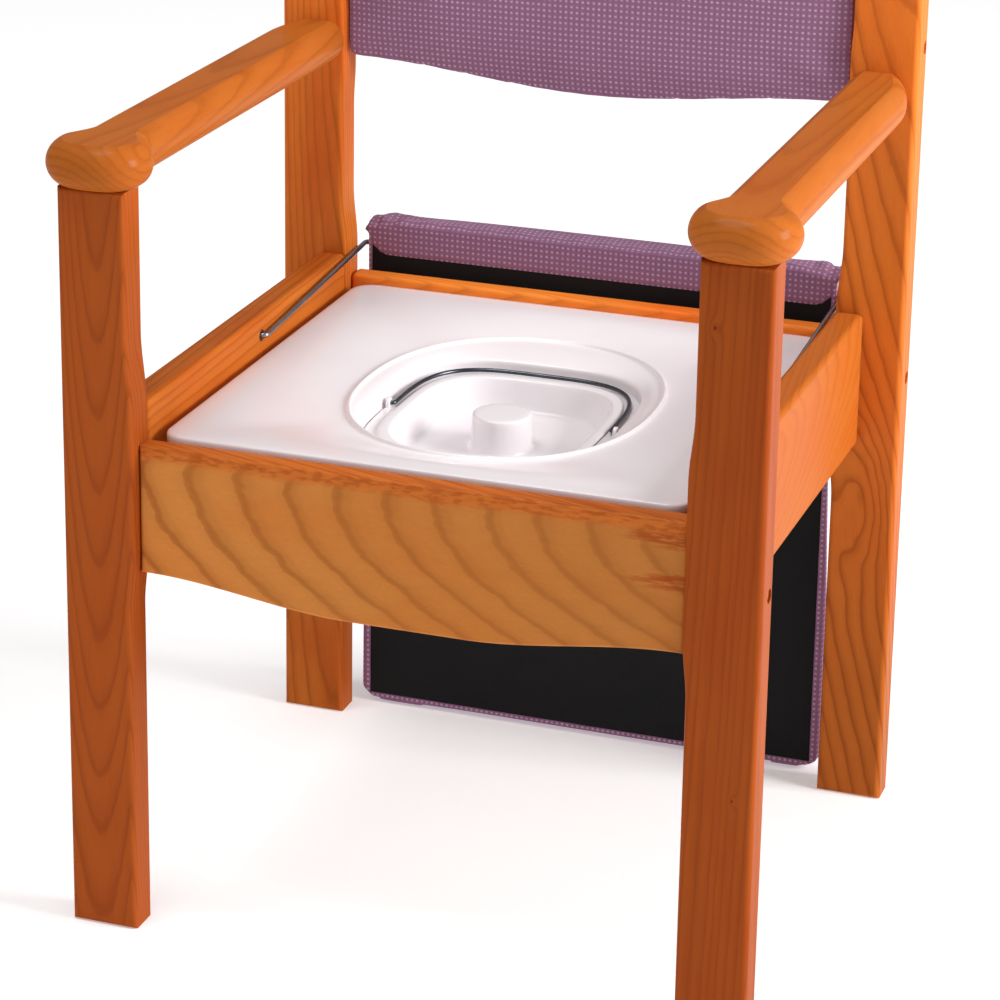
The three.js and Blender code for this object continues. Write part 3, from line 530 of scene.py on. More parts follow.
def tube(path, r, up, n=16, ends=True):
    loops = []
    up = Vector(up)
    pts = [Vector(p) for p in path]
    for i, p in enumerate(pts):
        t = (pts[min(len(pts) - 1, i + 1)] - pts[max(0, i - 1)]).normalized()
        s = t.cross(up).normalized()
        u = s.cross(t).normalized()
        loops.append([tuple(p + s * (r * math.cos(2 * math.pi * j / n)) + u * (r * math.sin(2 * math.pi * j / n))) for j in range(n)])
    return loft(loops)


def apply_all(ob):
    dg = bpy.context.evaluated_depsgraph_get()
    me = bpy.data.meshes.new_from_object(ob.evaluated_get(dg), preserve_all_data_layers=True, depsgraph=dg)
    old = ob.data
    ob.modifiers.clear()
    ob.data = me
    me.name = ob.name
    bpy.data.meshes.remove(old)


def bore(ob, cutters):
    """Round holes along X cut into a piece, then the normals set again."""
    bm = bmesh.new()
    for (x0, x1, y, z, r) in cutters:
        m = Matrix.Translation(Vector(P((x0 + x1) / 2, y, z))) @ Matrix.Rotation(math.pi / 2, 4, "Y")
        bmesh.ops.create_cone(bm, cap_ends=True, cap_tris=False, segments=40, radius1=r / 1000, radius2=r / 1000, depth=(x1 - x0) / 1000, matrix=m)
    me = bpy.data.meshes.new("bore")
    bm.to_mesh(me)
    bm.free()
    tool = bpy.data.objects.new("bore", me)
    scene.collection.objects.link(tool)
    ob.modifiers.clear()
    b = ob.modifiers.new("bore", "BOOLEAN")
    b.operation, b.object, b.solver = "DIFFERENCE", tool, "EXACT"
    bpy.context.view_layer.update()
    apply_all(ob)
    bpy.data.objects.remove(tool)
    ob.data.shade_smooth()
    ob.data.set_sharp_from_angle(angle=math.radians(32))
    w = ob.modifiers.new("flat", "WEIGHTED_NORMAL")
    w.keep_sharp = True
    w.weight = 60


def piece(ob, body, slot, *nodes):
    if nodes:
        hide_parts(*nodes)
    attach(ob, body)
    return ob


# ================================================================= dimensions
LEG_OUT, LEG_IN, LEG_SWELL, LEG_T, LEG_PITCH = 300, 240, 236, 34, 482
FRONT_TOP, REAR_TOP = 658.7, 884
ARM_Z0, ARM_Z1, ARM_R, ARM_IN, ARM_OUT = 659, 697, 17, 239, 300.6
PADDLE_HALF, PADDLE_FRONT, PADDLE_NECK = 44.5, -16, 60
GAP = 0.3

# ---- the boards, each cut from its own place in a log
ORANGE = lin(214, 118, 44)
ORANGE_D = lin(150, 66, 18)
RED = lin(196, 92, 32)
RED_D = lin(128, 52, 16)
woods = {
    # painted light: the front rail's colour ramps from lighter at the left end to darker at the right, standing in for
    # light from the front left falling off
    "front_rail": wood("pine_front_rail", (1, -0.30, 0.02), (0, 12 + 213, 425), 0.0125, lin(206, 130, 62), lin(150, 80, 30), 1.0,
                       contrast=0.60, warp=0.0060, warp_scale=6.0, fibre=0.14, tone=0.20, width_var=0.16, up=(0, 0, 1), skew=2.2,
                       red=lin(200, 120, 54), painted_light_ramp=(-240, 240, 1.12, 0.86), painted_light_axis=0,
                       band=(425, 433, lin(206, 108, 42), lin(172, 78, 26)), flames=[((238, 12, 424), (80, 40, 13)), ((238, 12, 388), (70, 40, 12))]),
    "front_leg_left": wood("pine_front_leg_left", (0.012, -0.055, 1), (-268, 46, 330), 0.0036, lin(190, 92, 34), lin(136, 56, 18), 2.0,
                           contrast=0.46, warp=0.0030, fibre=0.16, red=lin(182, 84, 30), width_var=0.3, gain=(0.84, 0.84, 0.84)),
    "front_leg_right": wood("pine_front_leg_right", (0.015, -0.02, 1), (214, 40, 330), 0.0060, lin(190, 92, 34), lin(134, 54, 17), 3.0,
                            contrast=0.46, warp=0.0022, fibre=0.20, red=lin(178, 80, 28), streak=0.18, gain=(0.72, 0.70, 0.60),
                            knots=[((254, 0, 606), 5, 1.0, (1, 1, 1.4)), ((282, 0, 214), 4, 0.8, (1, 1, 1.3))]),
    # painted light: both rear legs ramp from darker at the bottom to lighter at the top, standing in for the top light
    # falling off down the legs
    "rear_leg_left": wood("pine_rear_leg_left", (0.03, -0.05, 1), (-235, 560, 300), 0.0046, ORANGE, ORANGE_D, 4.0, contrast=0.55, red=RED,
                          painted_light_ramp=(100, 760, 0.76, 1.26)),
    "rear_leg_right": wood("pine_rear_leg_right", (-0.16, -0.10, 1), (330, 560, 560), 0.0105, lin(208, 112, 42), lin(146, 64, 20), 5.0,
                           contrast=0.58, warp=0.007, warp_scale=6.0, red=lin(198, 100, 34), width_var=0.3, painted_light_ramp=(120, 800, 0.73, 1.30),
                           knots=[((268, 482, 300), 44, 3.0, (0.60, 1.0, 1.5))], core=0.25),
    "armrest_left": wood("pine_armrest_left", (0.05, 1, 0.035), (-286, 100, 640), 0.0060, lin(212, 124, 50), lin(166, 86, 30), 6.0,
                         contrast=0.50, warp=0.003, red=lin(204, 112, 42), gain=(0.71, 0.64, 0.62)),
    "armrest_right": wood("pine_armrest_right", (-0.04, 1, 0.05), (262, 60, 636), 0.0064, lin(214, 126, 52), lin(166, 86, 30), 7.0,
                          contrast=0.50, warp=0.003, red=lin(206, 114, 44), gain=(0.71, 0.64, 0.62)),
    "side_rail_left": wood("pine_side_rail_left", (0.01, 1, 0.03), (-190, 100, 420), 0.0065, ORANGE, ORANGE_D, 8.0, contrast=0.42, red=RED),
    "side_rail_right": wood("pine_side_rail_right", (-0.16, 1, 0.08), (180, 100, 430), 0.0060, lin(222, 124, 48), lin(180, 88, 28), 9.0,
                            contrast=0.36, warp=0.003, fibre=0.2, red=lin(214, 112, 40), gain=(0.64, 0.60, 0.60)),
    "rear_rail": wood("pine_rear_rail", (1, -0.12, 0.02), (0, 560, 420), 0.0055, lin(206, 118, 48), lin(156, 78, 26), 10.0, contrast=0.5, red=RED, gain=(1.65, 1.65, 1.5)),
}
plug_wood = wood("pine_plug", (1, 0.1, 0.05), (0, 500, 396), 0.0022, lin(190, 98, 38), lin(140, 62, 20), 11.0, contrast=0.6, fibre=0.3)
cloth = fabric("upholstery")
white = plastic("white_plastic")
white_pan = plastic("white_plastic_pan", (240, 236, 238), 0.15, 3.0)
swing_steel = steel("rod_steel", (176, 176, 180), 0.16, (0, 0.997, 0.074))
bail_steel = steel("bail_steel", (92, 98, 104), 0.20, (1, 0, 0))
screw_steel = steel("screw_steel", (150, 150, 148), 0.30, (1, 0, 0))
dust = bottom_cloth("under_cloth")

# ====================================================================== legs
def inner_edge(swells, z_top):
    pts = [(LEG_IN, 0)]
    for z0, z1, z2, z3, x in swells:
        for i in range(13):
            pts.append((LEG_IN + (x - LEG_IN) * smooth(i / 12), z0 + (z1 - z0) * i / 12))
        for i in range(13):
            pts.append((x + (LEG_IN - x) * smooth(i / 12), z2 + (z3 - z2) * i / 12))
    pts.append((LEG_IN, z_top))
    return pts


def leg_outline(side, swells, z_top, top_r):
    pts = inner_edge(swells, z_top - top_r)
    if top_r:
        for i in range(1, 15):
            t = math.pi / 2 * i / 14
            pts.append((LEG_IN + top_r * (1 - math.cos(t)), z_top - top_r + top_r * math.sin(t)))
        for i in range(0, 14):
            t = math.pi / 2 * i / 14
            pts.append((LEG_OUT - top_r * (1 - math.sin(t)), z_top - top_r + top_r * math.cos(t)))
    pts += [(LEG_OUT, z_top - top_r), (LEG_OUT, 0)]
    return [(side * x, z) for x, z in pts]


SCREWS = [("front_rail", "front", 22, 384), ("rear_rail", "rear", 504, 411),
          ("back_lower", "rear", 506.2, 717), ("back_upper", "rear", 506.2, 822)]
for side, word in ((-1, "left"), (1, "right")):
    for which in ("front", "rear"):
        y0 = 0 if which == "front" else LEG_PITCH
        swells = [(292, 345, 478, 532, LEG_SWELL)]
        if which == "rear":
            swells.append((612, 652, 702, 742, LEG_IN - 1.6))
        outline = leg_outline(side, swells, FRONT_TOP if which == "front" else REAR_TOP, 0 if which == "front" else 24)
        node = f"{which}_leg_{word}"
        ob = new_object(f"{node}_board", *slab(outline, y0, y0 + LEG_T, 5), woods[node])
        bore(ob, [(min(side * 293.6, side * 301), max(side * 293.6, side * 301), y, z, 6.0) for _, leg, y, z in SCREWS if leg == which])
        piece(ob, "frame", "pine", node)

# plugs: turned discs, a shade proud, with a softened rim
for sid, leg, y, z in SCREWS:
    for side, word in ((-1, "left"), (1, "right")):
        loops = []
        for r, x in ((5.7, 294.2), (5.75, 297.3), (5.6, 297.9), (5.0, 298.1), (2.5, 298.2)):
            loops.append([(side * x, y + r * math.cos(2 * math.pi * j / 36), z + r * math.sin(2 * math.pi * j / 36)) for j in range(36)])
        ob = new_object(f"plug_{sid}_{word}_disc", *loft(loops), plug_wood, sharp=50)
        piece(ob, "frame", "pine_plug", f"plug_{sid}_{word}")


# ================================================================== armrests
def arm_outline(side):
    c, w = (ARM_IN + ARM_OUT) / 2, (ARM_OUT - ARM_IN) / 2
    half = []
    tip = 40
    for i in range(0, 33):
        t = math.pi / 2 * i / 32
        half.append((PADDLE_HALF * math.sin(t) ** 0.78, PADDLE_FRONT + tip * (1 - math.cos(t) ** 0.9)))
    for i in range(1, 15):
        t = i / 14
        half.append((PADDLE_HALF + (w - PADDLE_HALF) * smooth(t), PADDLE_FRONT + tip + (PADDLE_NECK - PADDLE_FRONT - tip) * t))
    end = LEG_PITCH - GAP
    pts = [(c + d, y) for d, y in half]
    pts.append((c + w, LEG_PITCH - 52))
    for i in range(1, 13):
        yy = LEG_PITCH - 52 + 52 * i / 12
        pts.append((c + w - 11 * (i / 12) ** 1.7, min(yy, end)))
    last = len(pts) - 1
    pts.append((c - w, end))
    fixed = (last, last + 1)
    pts += [(c - d, y) for d, y in reversed(half[1:])]
    return [(side * x, y) for x, y in pts], fixed


# rounded side that meets the flat top and bottom in a soft ridge
ARC, MID = 20.4, (ARM_Z0 + ARM_Z1) / 2
arm_rows = []
for i in range(19):
    phi = math.radians(-68.0 + 136.0 * i / 18)
    arm_rows.append((ARC * (1 - math.cos(phi)), MID + ARC * math.sin(phi)))
arm_rows = [(arm_rows[0][0] + 0.5, ARM_Z0)] + arm_rows + [(arm_rows[-1][0] + 0.5, ARM_Z1)]
for side, word in ((-1, "left"), (1, "right")):
    pts, fixed = arm_outline(side)
    ob = new_object(f"armrest_{word}_board", *slab(pts, ARM_Z0, ARM_Z1, ARM_R, "z", fixed=fixed, rows=arm_rows), woods[f"armrest_{word}"], sharp=17)
    piece(ob, "frame", "pine", f"armrest_{word}")


# ===================================================================== rails
def rounded_rect(a0, a1, b0, b1, r, n=5):
    out = []
    for ca, cb, s in ((a1 - r, b1 - r, 0), (a0 + r, b1 - r, 1), (a0 + r, b0 + r, 2), (a1 - r, b0 + r, 3)):
        for i in range(n + 1):
            t = math.pi / 2 * (s + i / n)
            out.append((ca + r * math.cos(t), cb + r * math.sin(t)))
    return out


for side, word in ((-1, "left"), (1, "right")):
    lo, hi = sorted((side * 236, side * 263))
    ob = new_object(f"side_rail_{word}_board", *slab(rounded_rect(LEG_T + GAP, LEG_PITCH - GAP, 350, 474, 5.2), lo, hi, 5, "x"), woods[f"side_rail_{word}"])
    inner, outer = side * 235, side * 253
    bore(ob, [(min(inner, outer), max(inner, outer), 276, 455.5, 5.6)])
    piece(ob, "frame", "pine", f"side_rail_{word}")

half = LEG_SWELL - GAP
pts = []
for i in range(61):
    x = -half + 2 * half * i / 60
    pts.append((x, 310.5 + (327.5 - 310.5) * smooth((abs(x) - 50) / 180)))
pts += [(half, 440), (-half, 440)]
piece(new_object("front_rail_board", *slab(pts, 12, 34, 4), woods["front_rail"]), "frame", "pine", "front_rail")
piece(new_object("rear_rail_board", *slab(rounded_rect(-half, half, 370, 451, 4.2), 494, 514, 4), woods["rear_rail"]), "frame", "pine", "rear_rail")

# ================================================================ seat panel
PANEL_X, PANEL_Y0, PANEL_Y1, PANEL_Z, PANEL_R = 228, 35.5, 493.5, 443.5, 20
RING = dict(cy=266.5, a=131, b=159.5, n=2.25)
HOLE = dict(cy=250, a=108.5, b=126.5, n=3.4)
LEDGE_Z, BATTEN_Z1 = 412, 434
cy = (PANEL_Y0 + PANEL_Y1) / 2
hx, hy = PANEL_X, (PANEL_Y1 - PANEL_Y0) / 2
outer = []
side_n, corner_n = 17, 9
for sx, sy in ((1, 1), (-1, 1), (-1, -1), (1, -1)):
    a0 = math.atan2(sy, sx) - math.pi / 4
    for i in range(corner_n + 1):
        t = a0 + math.pi / 2 * i / corner_n
        outer.append((sx * (hx - PANEL_R) + PANEL_R * math.cos(t), sy * (hy - PANEL_R) + PANEL_R * math.sin(t)))
    e = outer[-1]
    nxt = {(1, 1): (-(hx - PANEL_R), hy), (-1, 1): (-hx, -(hy - PANEL_R)), (-1, -1): (hx - PANEL_R, -hy), (1, -1): (hx, hy - PANEL_R)}[(sx, sy)]
    for i in range(1, side_n + 1):
        t = i / (side_n + 1)
        outer.append((e[0] + (nxt[0] - e[0]) * t, e[1] + (nxt[1] - e[1]) * t))


def p_outer(ins, z):
    return [(ox * (1 - ins / hx), cy + oy * (1 - ins / hy), z) for ox, oy in outer]


def p_super(s, d, z):
    out = []
    for ox, oy in outer:
        t = math.atan2(oy, ox)
        r = superR(t, s["a"], s["b"], s["n"])
        out.append(((r + d) * math.cos(t), (r + d) * math.sin(t) + s["cy"], z))
    return out


def p_mix(A, B, w, z):
    return [(p[0] + (q[0] - p[0]) * w, p[1] + (q[1] - p[1]) * w, z) for p, q in zip(A, B)]


R = lambda d, z: p_super(RING, d, z)
H = lambda d, z: p_super(HOLE, d, z)
o14, r4 = p_outer(14, 0), R(4, 0)
L = [p_outer(0, BATTEN_Z1 + GAP), p_outer(0, BATTEN_Z1 + 1.5), p_outer(0, PANEL_Z - 3), p_outer(0.5, PANEL_Z - 0.8), p_outer(2.6, PANEL_Z), p_outer(14, PANEL_Z),
     p_mix(o14, r4, 0.15, PANEL_Z - 0.7), p_mix(o14, r4, 0.3, PANEL_Z - 2.2), p_mix(o14, r4, 0.45, PANEL_Z - 4.5), p_mix(o14, r4, 0.6, PANEL_Z - 7.0),
     p_mix(o14, r4, 0.75, PANEL_Z - 9.4), p_mix(o14, r4, 0.9, PANEL_Z - 11.6), R(3.6, PANEL_Z - 12.5), R(2.2, PANEL_Z - 12.3), R(1.3, PANEL_Z - 10.4), R(0, PANEL_Z - 9.7),
     R(-1.3, PANEL_Z - 10.4), R(-2.2, PANEL_Z - 12.3), R(-3.6, PANEL_Z - 12.9),
     p_mix(R(-4, 0), H(4, 0), 0.35, PANEL_Z - 13.6), p_mix(R(-4, 0), H(4, 0), 0.7, PANEL_Z - 15.4), H(4.5, PANEL_Z - 17.3), H(1.6, PANEL_Z - 18.6), H(0.3, PANEL_Z - 20.2), H(0, PANEL_Z - 23),
     H(0, LEDGE_Z + 1.5), H(-0.6, LEDGE_Z), H(-10.8, LEDGE_Z), H(-11.5, LEDGE_Z - 0.7), H(-11.5, LEDGE_Z - 2.8), H(-10.8, LEDGE_Z - 3.5), H(2.8, LEDGE_Z - 3.5), H(3.5, LEDGE_Z - 2.8), H(3.8, PANEL_Z - 22),
     p_mix(R(-4, 0), H(4, 0), 0.5, PANEL_Z - 18.5), R(0, PANEL_Z - 16.2), p_mix(o14, r4, 0.6, PANEL_Z - 10.8), p_mix(o14, r4, 0.25, PANEL_Z - 5.4),
     p_outer(14, PANEL_Z - 3.6), p_outer(4.5, PANEL_Z - 3.6), p_outer(4, PANEL_Z - 4.2), p_outer(4, BATTEN_Z1 + 1.2), p_outer(3.6, BATTEN_Z1 + GAP)]
ob = new_object("seat_panel_moulding", *loft(L, closed=True), white, sharp=None, weighted=False, subsurf=1)
piece(ob, "panel", "white_plastic", "seat_panel")


# ============================================================ pan, lid, bail
def ring(a, b, n, z, yc=HOLE["cy"], N=96):
    out = []
    for i in range(N):
        t = 2 * math.pi * i / N
        r = superR(t, a, b, n)
        out.append((r * math.cos(t), yc + r * math.sin(t), z))
    return out


n, f = 3.4, LEDGE_Z + GAP
pan_loops = [
    ring(20, 24, n, 300), ring(64, 80, n, 300), ring(66.5, 82.5, n, 300.4), ring(70, 86, n, 303.5), ring(71.2, 87.4, n, 306.5), ring(93.5, 110.6, n, f - 14),
    ring(94.6, 111.6, n, f - 5), ring(95.2, 112.2, n, f - 1.2), ring(97, 114, n, f),
    ring(105, 123, n, f), ring(106.5, 124.5, n, f + 0.5), ring(106.9, 124.9, n, f + 1.4), ring(106.3, 124.3, n, f + 2.3), ring(105, 123, n, f + 2.6), ring(93.5, 110.5, n, f + 2.6),
    ring(92, 109, n, f + 2.2), ring(91, 108, n, f + 0.6), ring(90.5, 107.5, n, f - 4), ring(68.6, 84.8, n, 309), ring(66.5, 82.5, n, 305.3), ring(62, 78, n, 303.5), ring(20, 24, n, 303)]
ob = new_object("pan_shell", *loft(pan_loops), white_pan, sharp=None, weighted=False, subsurf=1)
piece(ob, "pan", "white_plastic", "pan")
for side, word in ((-1, "left"), (1, "right")):
    lo, hi = sorted((side * 101.8, side * 105.4))
    lug = new_object(f"pan_lug_{word}", *slab([(243, f + 1.5), (243, f + 6), (244, 420.5), (246, 422.6), (248, 423.2), (250, 422.6), (252, 420.5), (253, f + 6), (253, f + 1.5)], lo, hi, 0.9, "x", seg=3), white_pan)
    bore(lug, [(lo - 1, hi + 1, 248, 418.6, 2.25)])
    piece(lug, "pan", "white_plastic")

z = f + 2.6 + GAP
KR = 26.5
lid_loops = [
    ring(30, 36, n, z - 28.2), ring(74, 90, n, z - 28.2), ring(77.5, 93.5, n, z - 27.6), ring(80, 96, n, z - 25.5), ring(87.2, 103.7, n, z - 3), ring(88, 104.8, n, z - 0.6), ring(89.5, 106.4, n, z),
    ring(93.6, 111, n, z), ring(94.8, 112.3, n, z + 0.7), ring(94.9, 112.4, n, z + 1.7), ring(93.8, 111.3, n, z + 2.4), ring(87.5, 104, n, z + 2.4), ring(85.6, 102.1, n, z + 2.0), ring(84.4, 100.9, n, z + 0.6),
    ring(78, 94, n, z - 20.5), ring(76.2, 92.2, n, z - 23.6), ring(73, 89, n, z - 25.2), ring(69, 85, n, z - 25.5),
    ring(KR + 5, KR + 5, 2, z - 25.4), ring(KR + 2.2, KR + 2.2, 2, z - 25.0), ring(KR + 0.6, KR + 0.6, 2, z - 23.4), ring(KR - 0.1, KR - 0.1, 2, z - 20),
    ring(KR - 0.5, KR - 0.5, 2, 419.4), ring(KR - 1.0, KR - 1.0, 2, 421.2), ring(KR - 2.6, KR - 2.6, 2, 422), ring(14, 14, 2, 422), ring(5, 5, 2, 422)]
ob = new_object("pan_lid_moulding", *loft(lid_loops), white_pan, sharp=None, weighted=False, subsurf=1)
piece(ob, "lid", "white_plastic", "pan_lid")

BAIL_R, BAIL_Z, BAIL_Y = 1.9, 418.6, 248
path = []
rb, xw = 3, 99
leg_path = [(105.2, BAIL_Y, BAIL_Z)] + [(xw + rb - rb * math.sin(math.pi / 2 * i / 8), BAIL_Y + rb - rb * math.cos(math.pi / 2 * i / 8), BAIL_Z) for i in range(9)]
path += leg_path
for i in range(6, 91):
    t = math.pi * i / 96
    r = superR(t, xw, 117.5, 3.6)
    path.append((r * math.cos(t), BAIL_Y + r * math.sin(t), BAIL_Z))
path += [(-x, y, zz) for x, y, zz in reversed(leg_path)]
piece(new_object("bail_wire", *tube(path, BAIL_R, (0, 0, 1)), bail_steel, sharp=50, weighted=False), "bail", "bail_steel", "bail_handle")

# ================================================================ swing arms
P1, P2 = (276, 455.5), (525, 474)
ROD_R, ROD_X, BEND = 2.5, 232.4, 4.5
dv = Vector((0, P2[0] - P1[0], P2[1] - P1[1]))
length = dv.length
dv.normalize()
for side, word in ((-1, "left"), (1, "right")):
    a = Vector((ROD_X, P1[0], P1[1]))
    X = Vector((1, 0, 0))
    pth = [a + X * 19, a + X * 8]
    for i in range(11):
        t = math.pi / 2 * i / 10
        pth.append(a + X * (BEND * (1 - math.sin(t))) + dv * (BEND * (1 - math.cos(t))))
    for i in range(1, 12):
        pth.append(a + dv * (BEND + (length - 2 * BEND) * i / 12))
    for i in range(11):
        t = math.pi / 2 * i / 10
        pth.append(a + dv * (length - BEND * (1 - math.sin(t))) - X * (BEND * (1 - math.cos(t))))
    pth.append(a + dv * length - X * (ROD_X - 205))
    pth = [(p.x * side, p.y, p.z) for p in pth]
    piece(new_object(f"swing_arm_{word}_rod", *tube(pth, ROD_R, (0, -dv.z, dv.y)), swing_steel, sharp=50, weighted=False), "swing_arms", "rod_steel", f"swing_arm_{word}")


# ================================================================== cushions
def sstep(a, b, v):
    u = np.clip((np.asarray(v, float) - a) / (b - a), 0, 1)
    return u * u * (3 - 2 * u)


def inflate(ob, pressure, cap, pin, frames=20, voxel=5.0, project=None):
    """Voxel remesh, cloth under air pressure, each point's travel capped."""
    bpy.context.view_layer.objects.active = ob
    m = ob.modifiers.new("remesh", "REMESH")
    m.mode, m.voxel_size = "VOXEL", voxel / 1000
    m = ob.modifiers.new("even", "SMOOTH")
    m.factor, m.iterations = 0.5, 4
    apply_all(ob)
    start = np.empty(len(ob.data.vertices) * 3)
    ob.data.vertices.foreach_get("co", start)
    start = start.reshape(-1, 3)
    vg = ob.vertex_groups.new(name="pin")
    mm = start * 1000 - np.array([0, SHIFT_Y, 0])
    idx = [int(i) for i in np.nonzero(pin(mm))[0]]
    vg.add(idx, 1.0, "REPLACE")
    c = ob.modifiers.new("cloth", "CLOTH")
    st = c.settings
    st.vertex_group_mass = "pin"
    st.quality = 6
    st.mass = 0.25
    st.tension_stiffness = st.compression_stiffness = 22
    st.shear_stiffness = 12
    st.bending_stiffness = 3.5
    st.use_pressure = True
    st.uniform_pressure_force = pressure
    st.effector_weights.gravity = 0
    c.point_cache.frame_start, c.point_cache.frame_end = 1, frames
    for fr in range(1, frames + 1):
        scene.frame_set(fr)
    apply_all(ob)
    end = np.empty(len(ob.data.vertices) * 3)
    ob.data.vertices.foreach_get("co", end)
    end = end.reshape(-1, 3)
    d = end - start
    l = np.linalg.norm(d, axis=1, keepdims=True)
    lim = cap / 1000
    soft = lim * np.tanh(l / lim)
    end = start + d * np.where(l > 1e-9, soft / np.maximum(l, 1e-9), 0)
    scene.frame_set(1)
    ob.vertex_groups.clear()
    if project is not None:
        mm = end * 1000 - np.array([0, SHIFT_Y, 0])
        end = (project(mm) + np.array([0, SHIFT_Y, 0])) / 1000
    ob.data.vertices.foreach_set("co", end.ravel())
    ob.data.update()
    ob.data.shade_smooth()
    m = ob.modifiers.new("round", "SUBSURF")
    m.levels = m.render_levels = 1
    apply_all(ob)


def remap(ob, fn):
    """Moves the finished pad's points by fn, given and giving mm."""
    co = np.empty(len(ob.data.vertices) * 3)
    ob.data.vertices.foreach_get("co", co)
    mm = co.reshape(-1, 3) * 1000 - np.array([0, SHIFT_Y, 0])
    mm = fn(mm)
    ob.data.vertices.foreach_set("co", ((mm + np.array([0, SHIFT_Y, 0])) / 1000).ravel())
    ob.data.update()
    ob.data.shade_smooth()


def rim(c, along, target, reach, sign, step, low=-4.0, high=10.0, floor=None):
    """Carries a pad's outermost points to the line target(along); the move fades inwards over reach."""
    lo = along.min()
    n = int((along.max() - lo) / step) + 1
    i = np.clip(((along - lo) / step).astype(int), 0, n - 1)
    ext = np.full(n, -1e9)
    np.maximum.at(ext, i, sign * c)
    at = lo + (np.arange(n) + 0.5) * step
    ok = ext > -1e8
    here = np.interp(along, at[ok], ext[ok])
    move = np.clip(sign * target(along) - here, low, high)
    if floor is not None:
        move = move * np.clip((here - floor) / 14.0, 0, 1)
    t = np.clip((sign * c - here + reach) / reach, 0, 1)
    return c + sign * move * t * t * (3 - 2 * t)


def rounded(a, half, r):
    """How far a corner of radius r has drawn back at distance a from the middle."""
    t = np.clip(np.abs(a) - (half - r), 0, r)
    return r - np.sqrt(r * r - t * t)


# ---- folding seat: cover pulled over the board and turned under its edges
SX, SY0, ST, SZ0, SZ1 = 227.8, 519.0, 48.0, 6.0, 494.0
WRAP, FRONT_WRAP = 4.0, 29.0


def rect_loop(x, z0, z1, r, y, nx=26, nz=28, nc=5):
    out = []
    for sx, sz in ((1, 1), (-1, 1), (-1, -1), (1, -1)):
        a0 = math.atan2(sz, sx) - math.pi / 4
        cx, cz = sx * (x - r), (z1 - r if sz > 0 else z0 + r)
        for i in range(nc + 1):
            t = a0 + math.pi / 2 * i / nc
            out.append((cx + r * math.cos(t), y, cz + r * math.sin(t)))
        if sx == sz:
            for i in range(1, nx):
                w = i / nx
                out.append((sx * (x - r) * (1 - 2 * w), y, z1 if sz > 0 else z0))
        else:
            za, zb = (z1 - r, z0 + r) if sz > 0 else (z0 + r, z1 - r)
            for i in range(1, nz):
                w = i / nz
                out.append((sx * x, y, za + (zb - za) * w))
    return out


loops = []
for y, side_in, rear_in, front_in in ((SY0 + 0.9, 1.6, 1.6, 3.0), (SY0 + 3, 0.2, 0.2, -1.0), (SY0 + 10, 0.2, 0.2, -2.5), (SY0 + 22, 1.5, 1.5, -2.5),
                                      (SY0 + 30, 4.0, 4.0, -1.0), (SY0 + 36, 8.0, 8.0, 3.0), (SY0 + 40, 14.0, 15.0, 9.0), (SY0 + 42, 24.0, 26.0, 18.0)):
    loops.append(rect_loop(SX - side_in, SZ0 + rear_in, SZ1 - front_in, 12, y))
seat = new_object("seat_cushion_pad", *loft(loops), cloth, sharp=None, weighted=False)


def side_limit(z):
    """Half width of the cover: full at the front edge, tight beside the rods, fuller towards the rear."""
    return 228.0 + 5.6 * sstep(479, 486, z) + 4.2 * sstep(330, 150, z)


def seat_project(mm):
    x, y, z = mm[:, 0], mm[:, 1], mm[:, 2]
    lim = side_limit(z)
    x = np.clip(x, -lim, lim)
    z = np.clip(z, 2.0, 500.5)
    y = np.clip(y, SY0 + 0.7, SY0 + ST + 3.0)
    return np.stack([x, y, z], 1)


inflate(seat, 4.5, 9.0, lambda m: m[:, 1] < SY0 + 3.5, project=seat_project)


